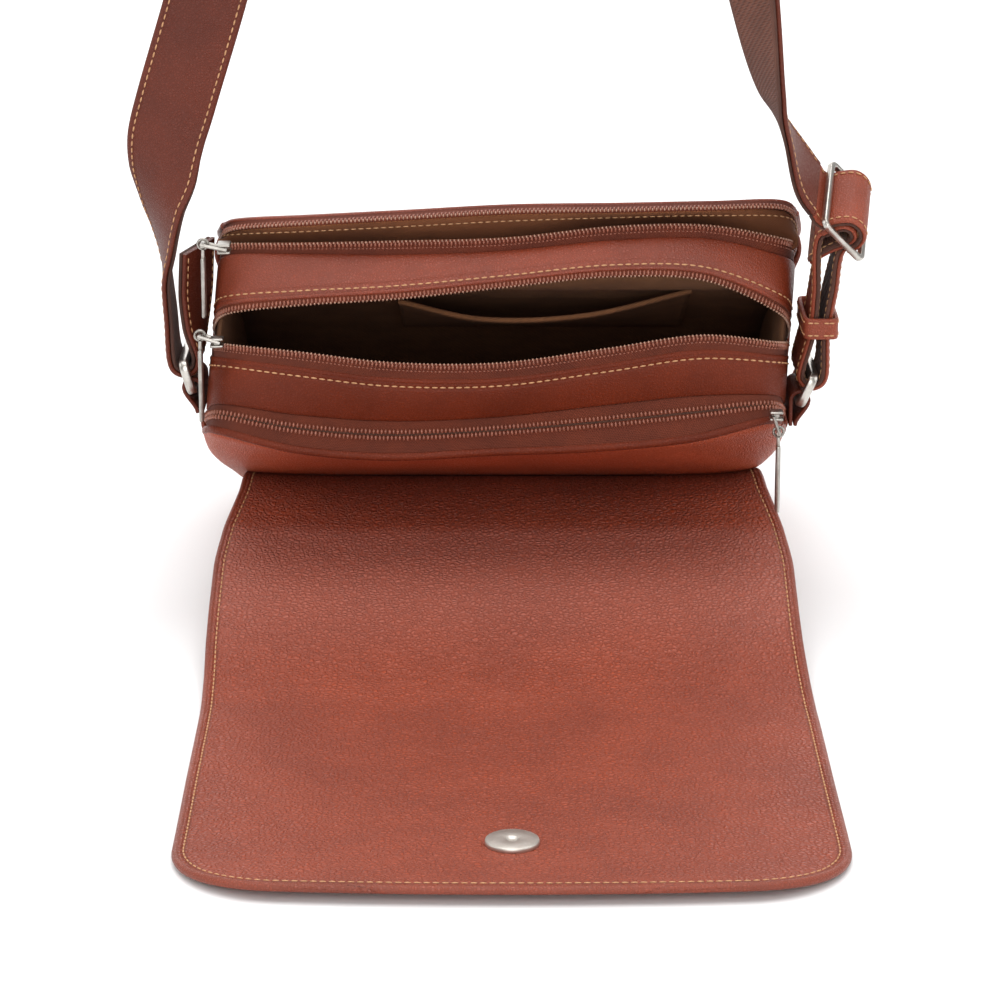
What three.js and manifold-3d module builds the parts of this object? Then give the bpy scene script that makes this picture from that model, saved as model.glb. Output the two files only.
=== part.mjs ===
// Crossbody bag with three zipped compartments, reclining on its back with the flap laid open.
// Millimetres, +Z up. The origin is the underside of the strap's crest, where the bag is held up.
import * as THREE from 'three';
import { mergeVertices } from 'three/addons/utils/BufferGeometryUtils.js';
import Module from 'manifold-3d';

const wasm = await Module();
wasm.setup();

// Walls and gaps
const LEATHER = 2.0;
const CLOTH = 1.0;
const ZIP = 1.6;
const FLAP = 3.0;
const STRAP_FACE = 1.6;
const STRAP_BACK = 1.2;
const STRAP_WIDTH = 30;
const LOOP_THICK = 2.8;
const GAP = 0.3;
const SEAM = 0.5;
const BAND_SEAM = 0.8;
const PANEL_GAP = 0.55;
const PANEL_REACH = LEATHER / 2 + PANEL_GAP;

// How the bag lies: mouth toward -Y, raised, bottom edge near the floor
const RECLINE = THREE.MathUtils.degToRad(19.5);
const MOUTH_LIFT = 66.5;
const SKEW = 0.076;
const SKEW_DEPTH = 61;
const HALF_WIDTH = 109;
const CREST = new THREE.Vector3(20, 28, 700);

// Mouth stations from left to right: x across, v from mouth to bottom, out = share of a line's stand,
// then the depth (back panel to front panel) of each seam, fold and rim that crosses the station
const MOUTH = [
  { x: -109.0, v: 28, out: 0.0, belly: 17.0, seamBack: 24.0, foldNear: 47.0, rimNear: 52.6,
    rimFar: 54.6, foldFar: 60.0, seamFront: 80.0, coilNear: 87.6, coilFar: 89.2, edge: 93.4 },
  { x: -108.5, v: 10, out: 0.1, belly: 17.0, seamBack: 25.0, foldNear: 44.0, rimNear: 50.0,
    rimFar: 57.0, foldFar: 62.3, seamFront: 81.0, coilNear: 87.0, coilFar: 90.2, edge: 93.6 },
  { x: -103.0, v: -3, out: 0.4, belly: 16.0, seamBack: 26.0, foldNear: 42.0, rimNear: 47.8,
    rimFar: 59.8, foldFar: 64.0, seamFront: 82.0, coilNear: 86.0, coilFar: 91.2, edge: 94.2 },
  { x: -75.0, v: -8, out: 1.0, belly: 9.0, seamBack: 22.0, foldNear: 37.9, rimNear: 44.0,
    rimFar: 62.0, foldFar: 65.4, seamFront: 81.4, coilNear: 85.2, coilFar: 91.9, edge: 94.8 },
  { x: -40.0, v: -8, out: 1.0, belly: 6.0, seamBack: 19.6, foldNear: 33.8, rimNear: 40.0,
    rimFar: 64.3, foldFar: 67.6, seamFront: 81.0, coilNear: 85.9, coilFar: 93.9, edge: 96.8 },
  { x: 0.0, v: -8, out: 1.0, belly: 7.8, seamBack: 21.0, foldNear: 33.6, rimNear: 39.8,
    rimFar: 68.6, foldFar: 71.8, seamFront: 82.5, coilNear: 87.1, coilFar: 96.2, edge: 99.1 },
  { x: 40.0, v: -8, out: 1.0, belly: 9.4, seamBack: 25.4, foldNear: 39.0, rimNear: 45.2,
    rimFar: 72.6, foldFar: 75.8, seamFront: 86.4, coilNear: 91.4, coilFar: 96.8, edge: 99.7 },
  { x: 75.0, v: -8, out: 1.0, belly: 13.0, seamBack: 29.0, foldNear: 44.2, rimNear: 50.2,
    rimFar: 71.2, foldFar: 74.6, seamFront: 87.0, coilNear: 91.8, coilFar: 97.6, edge: 100.4 },
  { x: 103.0, v: -3, out: 0.4, belly: 20.0, seamBack: 29.5, foldNear: 43.2, rimNear: 48.7,
    rimFar: 60.5, foldFar: 65.0, seamFront: 81.5, coilNear: 87.8, coilFar: 98.8, edge: 101.6 },
  { x: 108.5, v: 10, out: 0.1, belly: 19.5, seamBack: 28.0, foldNear: 44.5, rimNear: 50.0,
    rimFar: 56.5, foldFar: 61.5, seamFront: 80.5, coilNear: 87.5, coilFar: 95.0, edge: 98.0 },
  { x: 109.0, v: 28, out: 0.0, belly: 18.5, seamBack: 26.0, foldNear: 46.0, rimNear: 51.6,
    rimFar: 53.6, foldFar: 59.0, seamFront: 79.5, coilNear: 87.6, coilFar: 90.2, edge: 94.0 },
];
// How far each line stands from the station's v: negative is proud of the mouth
const STAND = {
  belly: 2, seamBack: -1, foldNear: -10, rimNear: -13, rimFar: -8,
  foldFar: -7, seamFront: -4, coilNear: -8, coilFar: -10, edge: -5,
};
// Bottom outline with the same stations
const BOTTOM = [
  { x: -109, v: 174 }, { x: -108, v: 186 }, { x: -100, v: 197 }, { x: -75, v: 202.5 },
  { x: -40, v: 203 }, { x: 0, v: 203 }, { x: 40, v: 203 }, { x: 75, v: 202.5 },
  { x: 100, v: 197 }, { x: 108, v: 186 }, { x: 109, v: 174 },
];
// Panels: the mouth line each hangs from, how far inside it starts and how far its sides turn inwards
const PANELS = {
  back_panel: { line: 'belly', sink: 0, turn: 12 },
  divider_back: { line: 'seamBack', sink: 3.6, turn: 0 },
  divider_front: { line: 'seamFront', sink: 3.6, turn: 0 },
  front_panel: { line: 'edge', sink: 0, turn: -3 },
};
const TURN_POWER = 8;
// Sections from mouth (w 0) to bottom (w 1): wide = spread of the sides, keep = share of the mouth
// line's depth that is left, then each panel's own depth
const SECTIONS = [
  { w: 0.0, wide: 1.0, keep: 1.0, back_panel: 0, divider_back: 28, divider_front: 80, front_panel: 105 },
  { w: 0.04, wide: 1.02, keep: 0.6, back_panel: 6, divider_back: 28, divider_front: 80, front_panel: 96 },
  { w: 0.09, wide: 1.034, keep: 0.3, back_panel: 5.8, divider_back: 28.5, divider_front: 79, front_panel: 96 },
  { w: 0.16, wide: 1.04, keep: 0.1, back_panel: 5.4, divider_back: 29, divider_front: 78, front_panel: 96.5 },
  { w: 0.3, wide: 1.04, keep: 0.0, back_panel: 5, divider_back: 29, divider_front: 75, front_panel: 97 },
  { w: 0.6, wide: 1.04, keep: 0.0, back_panel: 4.5, divider_back: 28.5, divider_front: 67, front_panel: 92.5 },
  { w: 0.92, wide: 1.034, keep: 0.0, back_panel: 4, divider_back: 27, divider_front: 56, front_panel: 83 },
  { w: 1.0, wide: 1.0, keep: 0.0, back_panel: 5, divider_back: 26, divider_front: 53, front_panel: 78 },
];
const PANEL_SPAN = [0.15, 0.85];
const MOUTH_SAMPLES = 24;
const PANEL_COLUMNS = 14;
const GUSSET_START = 0.16;

// Strips between the mouth lines: margin left at each line, height of the bulge between them
const STRIPS = {
  zip_back: { from: 'belly', to: 'seamBack', slot: 'zip', margins: [2.7, BAND_SEAM], height: 0.6 },
  band_back: { from: 'seamBack', to: 'foldNear', slot: 'leather', margins: [BAND_SEAM, SEAM], height: 1 },
  zip_main_near: { from: 'foldNear', to: 'rimNear', slot: 'zip', margins: [SEAM, SEAM], height: 0 },
  zip_main_far: { from: 'rimFar', to: 'foldFar', slot: 'zip', margins: [SEAM, SEAM], height: 0 },
  band_front: { from: 'foldFar', to: 'seamFront', slot: 'leather', margins: [BAND_SEAM, SEAM], height: 1 },
  zip_front_near: { from: 'seamFront', to: 'coilNear', slot: 'zip', margins: [BAND_SEAM, SEAM], height: 0 },
  zip_front_far: { from: 'coilFar', to: 'edge', slot: 'zip', margins: [0.2, 1.9], height: 0 },
};

// Linings: sections with depth v, near and far wall and half width, below the mouth lines
const LINING_DROP = 3.2;
const LININGS = {
  lining_main: {
    near: 'rimNear', far: 'rimFar', insetNear: -1.5, insetFar: 0.8,
    sections: [
      { v: 24, near: 37, far: 70, half: 103 },
      { v: 80, near: 34, far: 66, half: 103 },
      { v: 140, near: 33, far: 56, half: 103 },
      { v: 186, near: 34, far: 48, half: 96 },
    ],
  },
  lining_front: {
    near: 'coilNear', far: 'coilFar', insetNear: 0.2, insetFar: -0.2,
    sections: [
      { v: 24, near: 84, far: 89.5, half: 103 },
      { v: 90, near: 76.5, far: 87, half: 103 },
      { v: 184, near: 61, far: 74, half: 96 },
    ],
  },
};
const LINING_SPAN = [0.2, 0.8];
const LINING_COLUMNS = 14;

// Slip pocket under the main lining's upper wall: a row per depth, a column per station across
const POCKET_X = [-42, -8, 30, 68];
const POCKET_COLUMNS = 12;
const POCKET = [
  { v: 10, d: [64.5, 58.5, 61, 67] },
  { v: 45, d: [62.5, 59, 61, 63] },
  { v: 90, d: [62.4, 62.4, 62.4, 62.4] },
];

// Flap from its seam on the back panel to its free edge: y, z of its mid surface, half width, centre
const FLAP_ROWS = [
  { y: 90.0, z: 36.1, half: 103, mid: 0.0 },
  { y: 76.8, z: 40.8, half: 104.5, mid: 0.0 },
  { y: 60.0, z: 39.4, half: 105.8, mid: 0.2 },
  { y: 36.0, z: 32.2, half: 109, mid: 0.3 },
  { y: 10.5, z: 24.6, half: 110, mid: 0.4 },
  { y: -12.0, z: 18.2, half: 110, mid: 0.4 },
  { y: -33.0, z: 11.8, half: 110, mid: 0.6 },
  { y: -57.0, z: 5.0, half: 110, mid: 1.4 },
  { y: -80.0, z: 1.6, half: 110, mid: 2.0 },
  { y: -95.0, z: 1.5, half: 110, mid: 2.2 },
  { y: -120.0, z: 1.5, half: 110, mid: 2.3 },
  { y: -150.0, z: 1.5, half: 110, mid: 2.4 },
  { y: -205.0, z: 1.5, half: 110, mid: 2.8 },
  { y: -234.0, z: 2.5, half: 109.8, mid: 2.8 },
  { y: -251.5, z: 4.6, half: 109.8, mid: 2.8 },
];
const FLAP_CORNER = 36;
const FLAP_CORNER_SHARES = [0.92, 0.7, 0.45, 0.22, 0.07, 0];
const FLAP_STEPS = 26;
const FLAP_COLUMNS = 4;

// Magnetic snap
const SNAP_RADIUS = 9;
const SNAP_RIM = 0.7;
const SNAP_HEIGHT = 2.2;
const SNAP_HOLE = 2.6;
const SNAP_SIDES = 32;
const SNAP_LIFT = 0.7;
const SNAP_PLACE = { x: 3, y: -212 };
const SOCKET_PLACE = { across: 0.515, beside: 0.535, section: 5 };

// Rectangular strap rings, with the centres of their lower and upper bars
const RING_WIRE = 3.4;
const RING_INNER = 31.4;
const RINGS = {
  left: { side: -1, low: { x: -117.6, z: 94.5 }, high: { x: -120.6, z: 105.0 } },
  right: { side: 1, low: { x: 112.9, z: 89.5 }, high: { x: 117.4, z: 99.6 } },
};
const RING_Y = 32;
const TAB_WIDTH = 26;
const TAB_THICK = 1.4;
const TAB_LEG = 10;
const TAB_TURN_STEPS = 10;

// Strap slider: its centre and its axes across the strap, along the strap and out of its face
const BUCKLE_AT = new THREE.Vector3(128, 15, 164);
const BUCKLE_ACROSS = new THREE.Vector3(0.13, 0.87, 0.47).normalize();
const BUCKLE_ALONG = new THREE.Vector3(0.66, 0.28, -0.7).normalize();
const BUCKLE_OUT = new THREE.Vector3().crossVectors(BUCKLE_ALONG, BUCKLE_ACROSS);
const BUCKLE_BAR = 2.4;
const BUCKLE_HALF = 10.6;
const BUCKLE_INNER = 33;

// Strap centre line from the left ring over the crest to the slider, with its width direction
const STRAP_RUN = [
  { x: -115.8, y: 31.8, z: 147, wx: 0.3, wy: 0.95, wz: 0 },
  { x: -116.6, y: 32.2, z: 132, wx: 0.3, wy: 0.95, wz: 0 },
  { x: -116.8, y: 32.0, z: 118, wx: 0.2, wy: 0.98, wz: 0 },
  { x: -116.2, y: 32.0, z: 105.0, wx: 0, wy: 1, wz: 0 },
  { x: -117.5, y: 32.0, z: 101.9, wx: 0, wy: 1, wz: 0 },
  { x: -120.6, y: 32.0, z: 100.6, wx: 0, wy: 1, wz: 0 },
  { x: -123.7, y: 32.0, z: 101.9, wx: 0, wy: 1, wz: 0 },
  { x: -125.0, y: 32.0, z: 105.0, wx: 0, wy: 1, wz: 0 },
  { x: -126.0, y: 31.8, z: 120, wx: -0.02, wy: 1.0, wz: 0 },
  { x: -127.0, y: 31.2, z: 134, wx: -0.05, wy: 1.0, wz: 0 },
  { x: -127.2, y: 31.4, z: 143, wx: -0.18, wy: 0.98, wz: 0 },
  { x: -127.7, y: 30.8, z: 153, wx: -0.36, wy: 0.93, wz: 0 },
  { x: -128.2, y: 30.0, z: 164, wx: -0.6, wy: 0.8, wz: 0 },
  { x: -127.4, y: 29.0, z: 175, wx: -0.86, wy: 0.5, wz: 0 },
  { x: -126.0, y: 27.6, z: 188, wx: -0.97, wy: 0.24, wz: 0 },
  { x: -121.8, y: 27.0, z: 203, wx: -1.0, wy: 0.08, wz: 0 },
  { x: -109.6, y: 25.0, z: 242, wx: -1, wy: 0.05, wz: 0 },
  { x: -90.0, y: 21.0, z: 310, wx: -1, wy: 0, wz: 0 },
  { x: -46.0, y: 12.0, z: 460, wx: -1, wy: 0, wz: 0 },
  { x: 2.0, y: 6.0, z: 620, wx: -1, wy: 0, wz: 0 },
  { x: 17.0, y: 7.5, z: 682, wx: -1, wy: 0, wz: 0 },
  { x: 20.0, y: 28.0, z: 701.6, wx: -1, wy: 0, wz: 0 },
  { x: 23.0, y: 48.5, z: 682, wx: -1, wy: 0, wz: 0 },
  { x: 32.0, y: 50.0, z: 620, wx: -1, wy: 0, wz: 0 },
  { x: 57.0, y: 37.0, z: 460, wx: -0.95, wy: 0.3, wz: 0 },
  { x: 81.0, y: 18.0, z: 310, wx: -0.75, wy: 0.66, wz: 0 },
  { x: 91.6, y: 8.0, z: 244, wx: -0.52, wy: 0.85, wz: 0.05 },
  { x: 98.8, y: 5.5, z: 209, wx: -0.26, wy: 0.94, wz: 0.2 },
  { x: 104.0, y: 6.0, z: 196, wx: -0.08, wy: 0.93, wz: 0.33 },
];
// The rest of the run, and the adjuster loop that threads the slider, in the slider's (along, out) plane
const RUN_END = [{ along: -22, out: -2.0 }, { along: -15.4, out: -3.1 }];
const LOOP_THREAD = [
  { along: -14.4, out: -3.3 }, { along: -11.0, out: -3.9 }, { along: -7.8, out: -2.8 },
  { along: -6.4, out: 1.6 }, { along: -3.6, out: 6.2 }, { along: 0.4, out: 7.2 },
  { along: 4.6, out: 5.4 }, { along: 6.8, out: 1.2 }, { along: 6.6, out: -6.0 },
];
const LOOP_WAY = [
  { x: 124.6, y: 22.0, z: 138, wx: 0.08, wy: 0.92, wz: 0.36 },
  { x: 122.2, y: 27.5, z: 120, wx: 0.03, wy: 0.98, wz: 0.2 },
  { x: 121.8, y: 32.0, z: 99.6, wx: 0, wy: 1, wz: 0 },
  { x: 120.5, y: 32.0, z: 96.5, wx: 0, wy: 1, wz: 0 },
  { x: 117.4, y: 32.0, z: 95.2, wx: 0, wy: 1, wz: 0 },
  { x: 114.3, y: 32.0, z: 96.5, wx: 0, wy: 1, wz: 0 },
  { x: 113.0, y: 32.0, z: 99.6, wx: 0, wy: 1, wz: 0 },
  { x: 116.8, y: 27.5, z: 120, wx: 0.03, wy: 0.98, wz: 0.2 },
  { x: 118.2, y: 22.0, z: 138, wx: 0.08, wy: 0.92, wz: 0.36 },
];
const LOOP_BACK = [
  { along: -3.6, out: -8 }, { along: -3.6, out: 0 }, { along: -2.6, out: 2.6 }, { along: 0, out: 3.7 },
  { along: 2.6, out: 2.6 }, { along: 3.6, out: 0 }, { along: 2.6, out: -8 }, { along: 2.6, out: -18 },
];
const STEPS_PER_ROW = 3;
const KEEPER = { at: new THREE.Vector3(119.5, 27.5, 120), height: 8, wall: 1.4, innerX: 10.4, innerY: 34.2 };

// Zip sliders and pulls: slider body centre, pin on which the pull hangs, pull length
const PULLS = {
  back: { body: { x: 101.3, y: -0.9, z: 89.5 }, deep: 6.2, pin: { x: 103.5, y: -0.9, z: 83 }, length: 31 },
  main: { body: { x: -105.5, y: 2, z: 117 }, deep: 6.2, pin: { x: -112.9, y: 2, z: 119.5 }, length: 33 },
  front: { body: { x: -103, y: 15.2, z: 150 }, deep: 10, pin: { x: -111.9, y: 12.4, z: 152 }, length: 28 },
};
const PULL_WIDTH = 6;
const PULL_THICK = 1.8;
const EYE_RADIUS = 2.4;
const EYE_WIDTH = 3;
const EYE_HOLE = 1.4;
const PIN_RADIUS = 1.0;
const CHEEK = 1.2;
const NECK = 4;
const SHOULDER = 5;
const BODY = { x: 7.5, z: 5 };
const ROD_SIDES = 20;

// Finishes
const finish = (color, roughness, metalness = 0) =>
  new THREE.MeshStandardMaterial({ color, roughness, metalness });
const MATERIALS = {
  leather: finish(0x97462f, 0.5),
  lining: finish(0x6b4e2c, 0.9),
  zip: finish(0x6e3e30, 0.7),
  webbing: finish(0x734b41, 0.85),
  nickel: finish(0xc8c0b6, 0.28, 1),
};

// Bag-local point: the group that holds the bag turns y (mouth to bottom) and z (back to front)
const local = (x, v, d) => new THREE.Vector3(x + SKEW * (d - SKEW_DEPTH), v, d);
const vector = ({ x, y, z }) => new THREE.Vector3(x, y, z);

function lineCurve(line) {
  const points = MOUTH.map((row) => new THREE.Vector3(row.x, row.v + row.out * STAND[line], row[line]));
  return new THREE.CatmullRomCurve3(points);
}
const bottomCurve = new THREE.CatmullRomCurve3(BOTTOM.map((row) => new THREE.Vector3(row.x, row.v, 0)));
const mouthPoint = (curve, t) => {
  const p = curve.getPoint(t);
  return local(p.x, p.y, p.z);
};

// Closed solid of a wall: a grid of mid-surface points, thickened both ways along its normals
function wallGeometry(grid, thickness, shift = 0) {
  const rows = grid.length;
  const columns = grid[0].length;
  const normalAt = (i, j) => {
    const du = grid[Math.min(i + 1, rows - 1)][j].clone().sub(grid[Math.max(i - 1, 0)][j]);
    const dv = grid[i][Math.min(j + 1, columns - 1)].clone().sub(grid[i][Math.max(j - 1, 0)]);
    return du.cross(dv).normalize();
  };
  const positions = [];
  for (const side of [1, -1]) {
    for (let i = 0; i < rows; i += 1) {
      for (let j = 0; j < columns; j += 1) {
        const reach = shift + (side * thickness) / 2;
        positions.push(...grid[i][j].clone().addScaledVector(normalAt(i, j), reach).toArray());
      }
    }
  }
  const at = (layer, i, j) => layer * rows * columns + i * columns + j;
  const index = [];
  const quad = (a, b, c, d) => index.push(a, b, c, a, c, d);
  for (let i = 0; i < rows - 1; i += 1) {
    for (let j = 0; j < columns - 1; j += 1) {
      quad(at(0, i, j), at(0, i + 1, j), at(0, i + 1, j + 1), at(0, i, j + 1));
      quad(at(1, i, j), at(1, i, j + 1), at(1, i + 1, j + 1), at(1, i + 1, j));
    }
  }
  for (let j = 0; j < columns - 1; j += 1) {
    quad(at(0, 0, j), at(0, 0, j + 1), at(1, 0, j + 1), at(1, 0, j));
    quad(at(0, rows - 1, j), at(1, rows - 1, j), at(1, rows - 1, j + 1), at(0, rows - 1, j + 1));
  }
  for (let i = 0; i < rows - 1; i += 1) {
    quad(at(0, i, 0), at(1, i, 0), at(1, i + 1, 0), at(0, i + 1, 0));
    quad(at(0, i, columns - 1), at(0, i + 1, columns - 1), at(1, i + 1, columns - 1), at(1, i, columns - 1));
  }
  const geometry = new THREE.BufferGeometry();
  geometry.setAttribute('position', new THREE.Float32BufferAttribute(positions, 3));
  geometry.setIndex(index);
  geometry.computeVertexNormals();
  return geometry;
}

function mesh(name, geometry, material) {
  const part = new THREE.Mesh(geometry, MATERIALS[material]);
  part.name = name;
  return part;
}

// Point on a panel: across 0 to 1 from left to right, at one of the sections
function panelPoint(name, across, section) {
  const { line, sink, turn } = PANELS[name];
  const t = THREE.MathUtils.lerp(PANEL_SPAN[0], PANEL_SPAN[1], across);
  const top = lineCurve(line).getPoint(t);
  const end = bottomCurve.getPoint(t);
  const { w, wide, keep } = section;
  const x = THREE.MathUtils.lerp(top.x * (1 - sink / HALF_WIDTH), end.x, w) * wide;
  const v = THREE.MathUtils.lerp(top.y + sink, end.y, w);
  const side = turn * Math.abs(2 * across - 1) ** TURN_POWER;
  return local(x, v, keep * top.z + (1 - keep) * (section[name] + side));
}

const steps = (count, from = 0, to = 1) =>
  Array.from({ length: count + 1 }, (_, i) => from + ((to - from) * i) / count);

function panelMesh(name) {
  const grid = SECTIONS.map((section) => steps(PANEL_COLUMNS).map((a) => panelPoint(name, a, section)));
  return mesh(name, wallGeometry(grid, LEATHER), 'leather');
}

// Perimeter of a panel below the mouth: left side, bottom, right side
function perimeter(name) {
  const sides = SECTIONS.filter(({ w }) => w >= GUSSET_START && w < 1);
  const left = sides.map((section) => panelPoint(name, 0, section));
  const under = steps(PANEL_COLUMNS).map((a) => panelPoint(name, a, SECTIONS.at(-1)));
  const right = sides.map((section) => panelPoint(name, 1, section)).reverse();
  return [...left, ...under, ...right];
}

// Strip from one row of points to another, with a margin at each, bulging by height in the middle
function stripGrid(from, to, margins, height, across) {
  return from.map((a, i) => {
    const b = to[i];
    const way = b.clone().sub(a);
    const reach = way.length();
    way.normalize();
    const start = a.clone().addScaledVector(way, margins[0]);
    const span = reach - margins[0] - margins[1];
    return steps(across).map((s) => {
      const point = start.clone().addScaledVector(way, s * span);
      point.y -= 4 * height * s * (1 - s);
      return point;
    });
  });
}

function gussetMesh(name, from, to) {
  const grid = stripGrid(perimeter(from), perimeter(to), [PANEL_REACH, PANEL_REACH], 0, 2);
  return mesh(name, wallGeometry(grid, LEATHER), 'leather');
}

function mouthStrip(name, { from, to, slot, margins, height }) {
  const samples = steps(MOUTH_SAMPLES);
  const a = samples.map((t) => mouthPoint(lineCurve(from), t));
  const b = samples.map((t) => mouthPoint(lineCurve(to), t));
  const thickness = slot === 'leather' ? LEATHER : ZIP;
  return mesh(name, wallGeometry(stripGrid(a, b, margins, height, height > 0 ? 2 : 1), thickness), slot);
}

// Lining pouch: paired near and far walls, open at the mouth, closed at the bottom
function pouchMesh(name, spec) {
  const samples = steps(LINING_COLUMNS, LINING_SPAN[0], LINING_SPAN[1]);
  const mouth = (line, inset) => samples.map((t) => {
    const p = lineCurve(line).getPoint(t);
    return new THREE.Vector3(p.x, p.y + LINING_DROP, p.z + inset);
  });
  const near = [mouth(spec.near, spec.insetNear)];
  const far = [mouth(spec.far, spec.insetFar)];
  const span = near[0][LINING_COLUMNS].x;
  for (const row of spec.sections) {
    near.push(near[0].map((p) => new THREE.Vector3((p.x / span) * row.half, row.v, row.near)));
    far.push(near[0].map((p) => new THREE.Vector3((p.x / span) * row.half, row.v, row.far)));
  }
  const loops = near.map((row, k) => [...row, ...[...far[k]].reverse()]);
  const size = loops[0].length;
  const shrink = (point, i, floor) => {
    const side = i < size / 2 ? 1 : -1;
    const end = i % (size / 2) === 0 || i % (size / 2) === size / 2 - 1;
    const x = end ? point.x - Math.sign(point.x) * CLOTH : point.x;
    return new THREE.Vector3(x, point.y - floor, point.z + side * CLOTH);
  };
  const last = loops.length - 1;
  const inner = loops.map((loop, k) => loop.map((p, i) => shrink(p, i, k === last ? CLOTH : 0)));
  const positions = [...loops.flat(), ...inner.flat()].flatMap((p) => local(p.x, p.y, p.z).toArray());
  const at = (layer, k, i) => layer * loops.length * size + k * size + (i % size);
  const index = [];
  const quad = (a, b, c, d) => index.push(a, b, c, a, c, d);
  for (let k = 0; k < last; k += 1) {
    for (let i = 0; i < size; i += 1) {
      quad(at(0, k, i), at(0, k + 1, i), at(0, k + 1, i + 1), at(0, k, i + 1));
      quad(at(1, k, i), at(1, k, i + 1), at(1, k + 1, i + 1), at(1, k + 1, i));
    }
  }
  for (let i = 0; i < size; i += 1) quad(at(0, 0, i), at(0, 0, i + 1), at(1, 0, i + 1), at(1, 0, i));
  for (let i = 0; i < size / 2 - 1; i += 1) {
    const [a, b, c, d] = [i, i + 1, size - 2 - i, size - 1 - i];
    quad(at(0, last, a), at(0, last, d), at(0, last, c), at(0, last, b));
    quad(at(1, last, a), at(1, last, b), at(1, last, c), at(1, last, d));
  }
  const geometry = new THREE.BufferGeometry();
  geometry.setAttribute('position', new THREE.Float32BufferAttribute(positions, 3));
  geometry.setIndex(index);
  geometry.computeVertexNormals();
  return mesh(name, geometry, 'lining');
}

function pocketMesh() {
  const rows = POCKET.map(({ v, d }) =>
    new THREE.CatmullRomCurve3(POCKET_X.map((x, i) => new THREE.Vector3(x, v, d[i]))));
  const grid = rows.map((curve) => curve.getPoints(POCKET_COLUMNS).map((p) => local(p.x, p.y, p.z)));
  return mesh('inner_pocket', wallGeometry(grid, CLOTH), 'lining');
}

// Flap: a wall along its side profile, with rounded corners at the free edge
function flapMesh() {
  const curve = (pick) => new THREE.CatmullRomCurve3(FLAP_ROWS.map(pick));
  const profile = curve(({ y, z }) => new THREE.Vector3(0, y, z));
  const spread = curve(({ half, mid }) => new THREE.Vector3(half, mid, 0));
  const corner = FLAP_CORNER / profile.getLength();
  const ends = FLAP_CORNER_SHARES.map((share) => 1 - share * corner);
  const along = [...steps(FLAP_STEPS, 0, 1 - corner), ...ends];
  const grid = along.map((t) => {
    const u = profile.getUtoTmapping(t);
    const p = profile.getPoint(u);
    const { x: half, y: mid } = spread.getPoint(u);
    const turn = Math.max(0, (t - 1) / corner + 1);
    const round = FLAP_CORNER * (1 - Math.sqrt(1 - turn * turn));
    return steps(FLAP_COLUMNS, -1, 1).map((a) => new THREE.Vector3(mid + a * (half - round), p.y, p.z));
  });
  return mesh('flap', wallGeometry(grid, FLAP), 'leather');
}

// Snap half: a low disc with a rounded rim and a small dimple
function snapGeometry() {
  const top = SNAP_HEIGHT;
  const outline = [
    [0, 0], [SNAP_RADIUS, 0], [SNAP_RADIUS, top - SNAP_RIM], [SNAP_RADIUS - SNAP_RIM, top],
    [SNAP_HOLE, top], [SNAP_HOLE - SNAP_RIM, top - SNAP_RIM], [0, top - SNAP_RIM],
  ];
  const lathe = new THREE.LatheGeometry(outline.map(([r, h]) => new THREE.Vector2(r, h)), SNAP_SIDES);
  return lathe.rotateX(Math.PI / 2);
}

function socketMesh() {
  const { across, beside, section } = SOCKET_PLACE;
  const at = panelPoint('front_panel', across, SECTIONS[section]);
  const down = panelPoint('front_panel', across, SECTIONS[section + 1]).sub(at);
  const side = panelPoint('front_panel', beside, SECTIONS[section]).sub(at);
  const out = side.cross(down).normalize();
  const part = mesh('snap_socket', snapGeometry(), 'nickel');
  part.quaternion.setFromUnitVectors(new THREE.Vector3(0, 0, 1), out);
  part.position.copy(at).addScaledVector(out, PANEL_REACH);
  return part;
}

// Rectangular ring: an extruded frame whose bars run along Y
function ringMesh(name, { low, high }) {
  const rise = Math.hypot(high.x - low.x, high.z - low.z);
  const [long, short] = [RING_INNER + 2 * RING_WIRE, rise + RING_WIRE];
  const frame = new THREE.Shape([[-1, -1], [1, -1], [1, 1], [-1, 1]].map(([a, b]) =>
    new THREE.Vector2((a * short) / 2, (b * long) / 2)));
  const window = [[-1, -1], [-1, 1], [1, 1], [1, -1]].map(([a, b]) =>
    new THREE.Vector2((a * (short - 2 * RING_WIRE)) / 2, (b * RING_INNER) / 2));
  frame.holes.push(new THREE.Path(window));
  const geometry = new THREE.ExtrudeGeometry(frame, { depth: RING_WIRE, bevelEnabled: false });
  geometry.translate(0, 0, -RING_WIRE / 2);
  const part = mesh(name, geometry, 'nickel');
  part.rotation.y = -Math.atan2(high.z - low.z, high.x - low.x);
  part.position.set((low.x + high.x) / 2, RING_Y, (low.z + high.z) / 2);
  return part;
}

// Leather tab: a strip folded over the ring's lower bar, both legs against the bag's side
function tabMesh(name, { side, low }) {
  const radius = (RING_WIRE * Math.SQRT2) / 2 + GAP + TAB_THICK / 2;
  const leg = [low.z - TAB_LEG, low.z - TAB_LEG / 2];
  const inner = leg.map((z) => [low.x - side * radius, z]);
  const arc = steps(TAB_TURN_STEPS).map((s) => {
    const turn = Math.PI * s;
    return [low.x - side * radius * Math.cos(turn), low.z + radius * Math.sin(turn)];
  });
  const outer = leg.map((z) => [low.x + side * radius, z]).reverse();
  const grid = [...inner, ...arc, ...outer].map(([x, z]) =>
    [-1, 1].map((edge) => new THREE.Vector3(x, RING_Y + (edge * TAB_WIDTH) / 2, z)));
  return mesh(name, wallGeometry(grid, TAB_THICK), 'leather');
}

// Ribbon rows: centre and width direction, from world rows or from the slider's plane
const wayRow = ({ x, y, z, wx, wy, wz }) => ({
  at: new THREE.Vector3(x, y, z),
  wide: new THREE.Vector3(wx, wy, wz),
});
const threadRow = ({ along, out }) => ({
  at: BUCKLE_AT.clone().addScaledVector(BUCKLE_ALONG, along).addScaledVector(BUCKLE_OUT, out),
  wide: BUCKLE_ACROSS.clone(),
});

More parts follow.
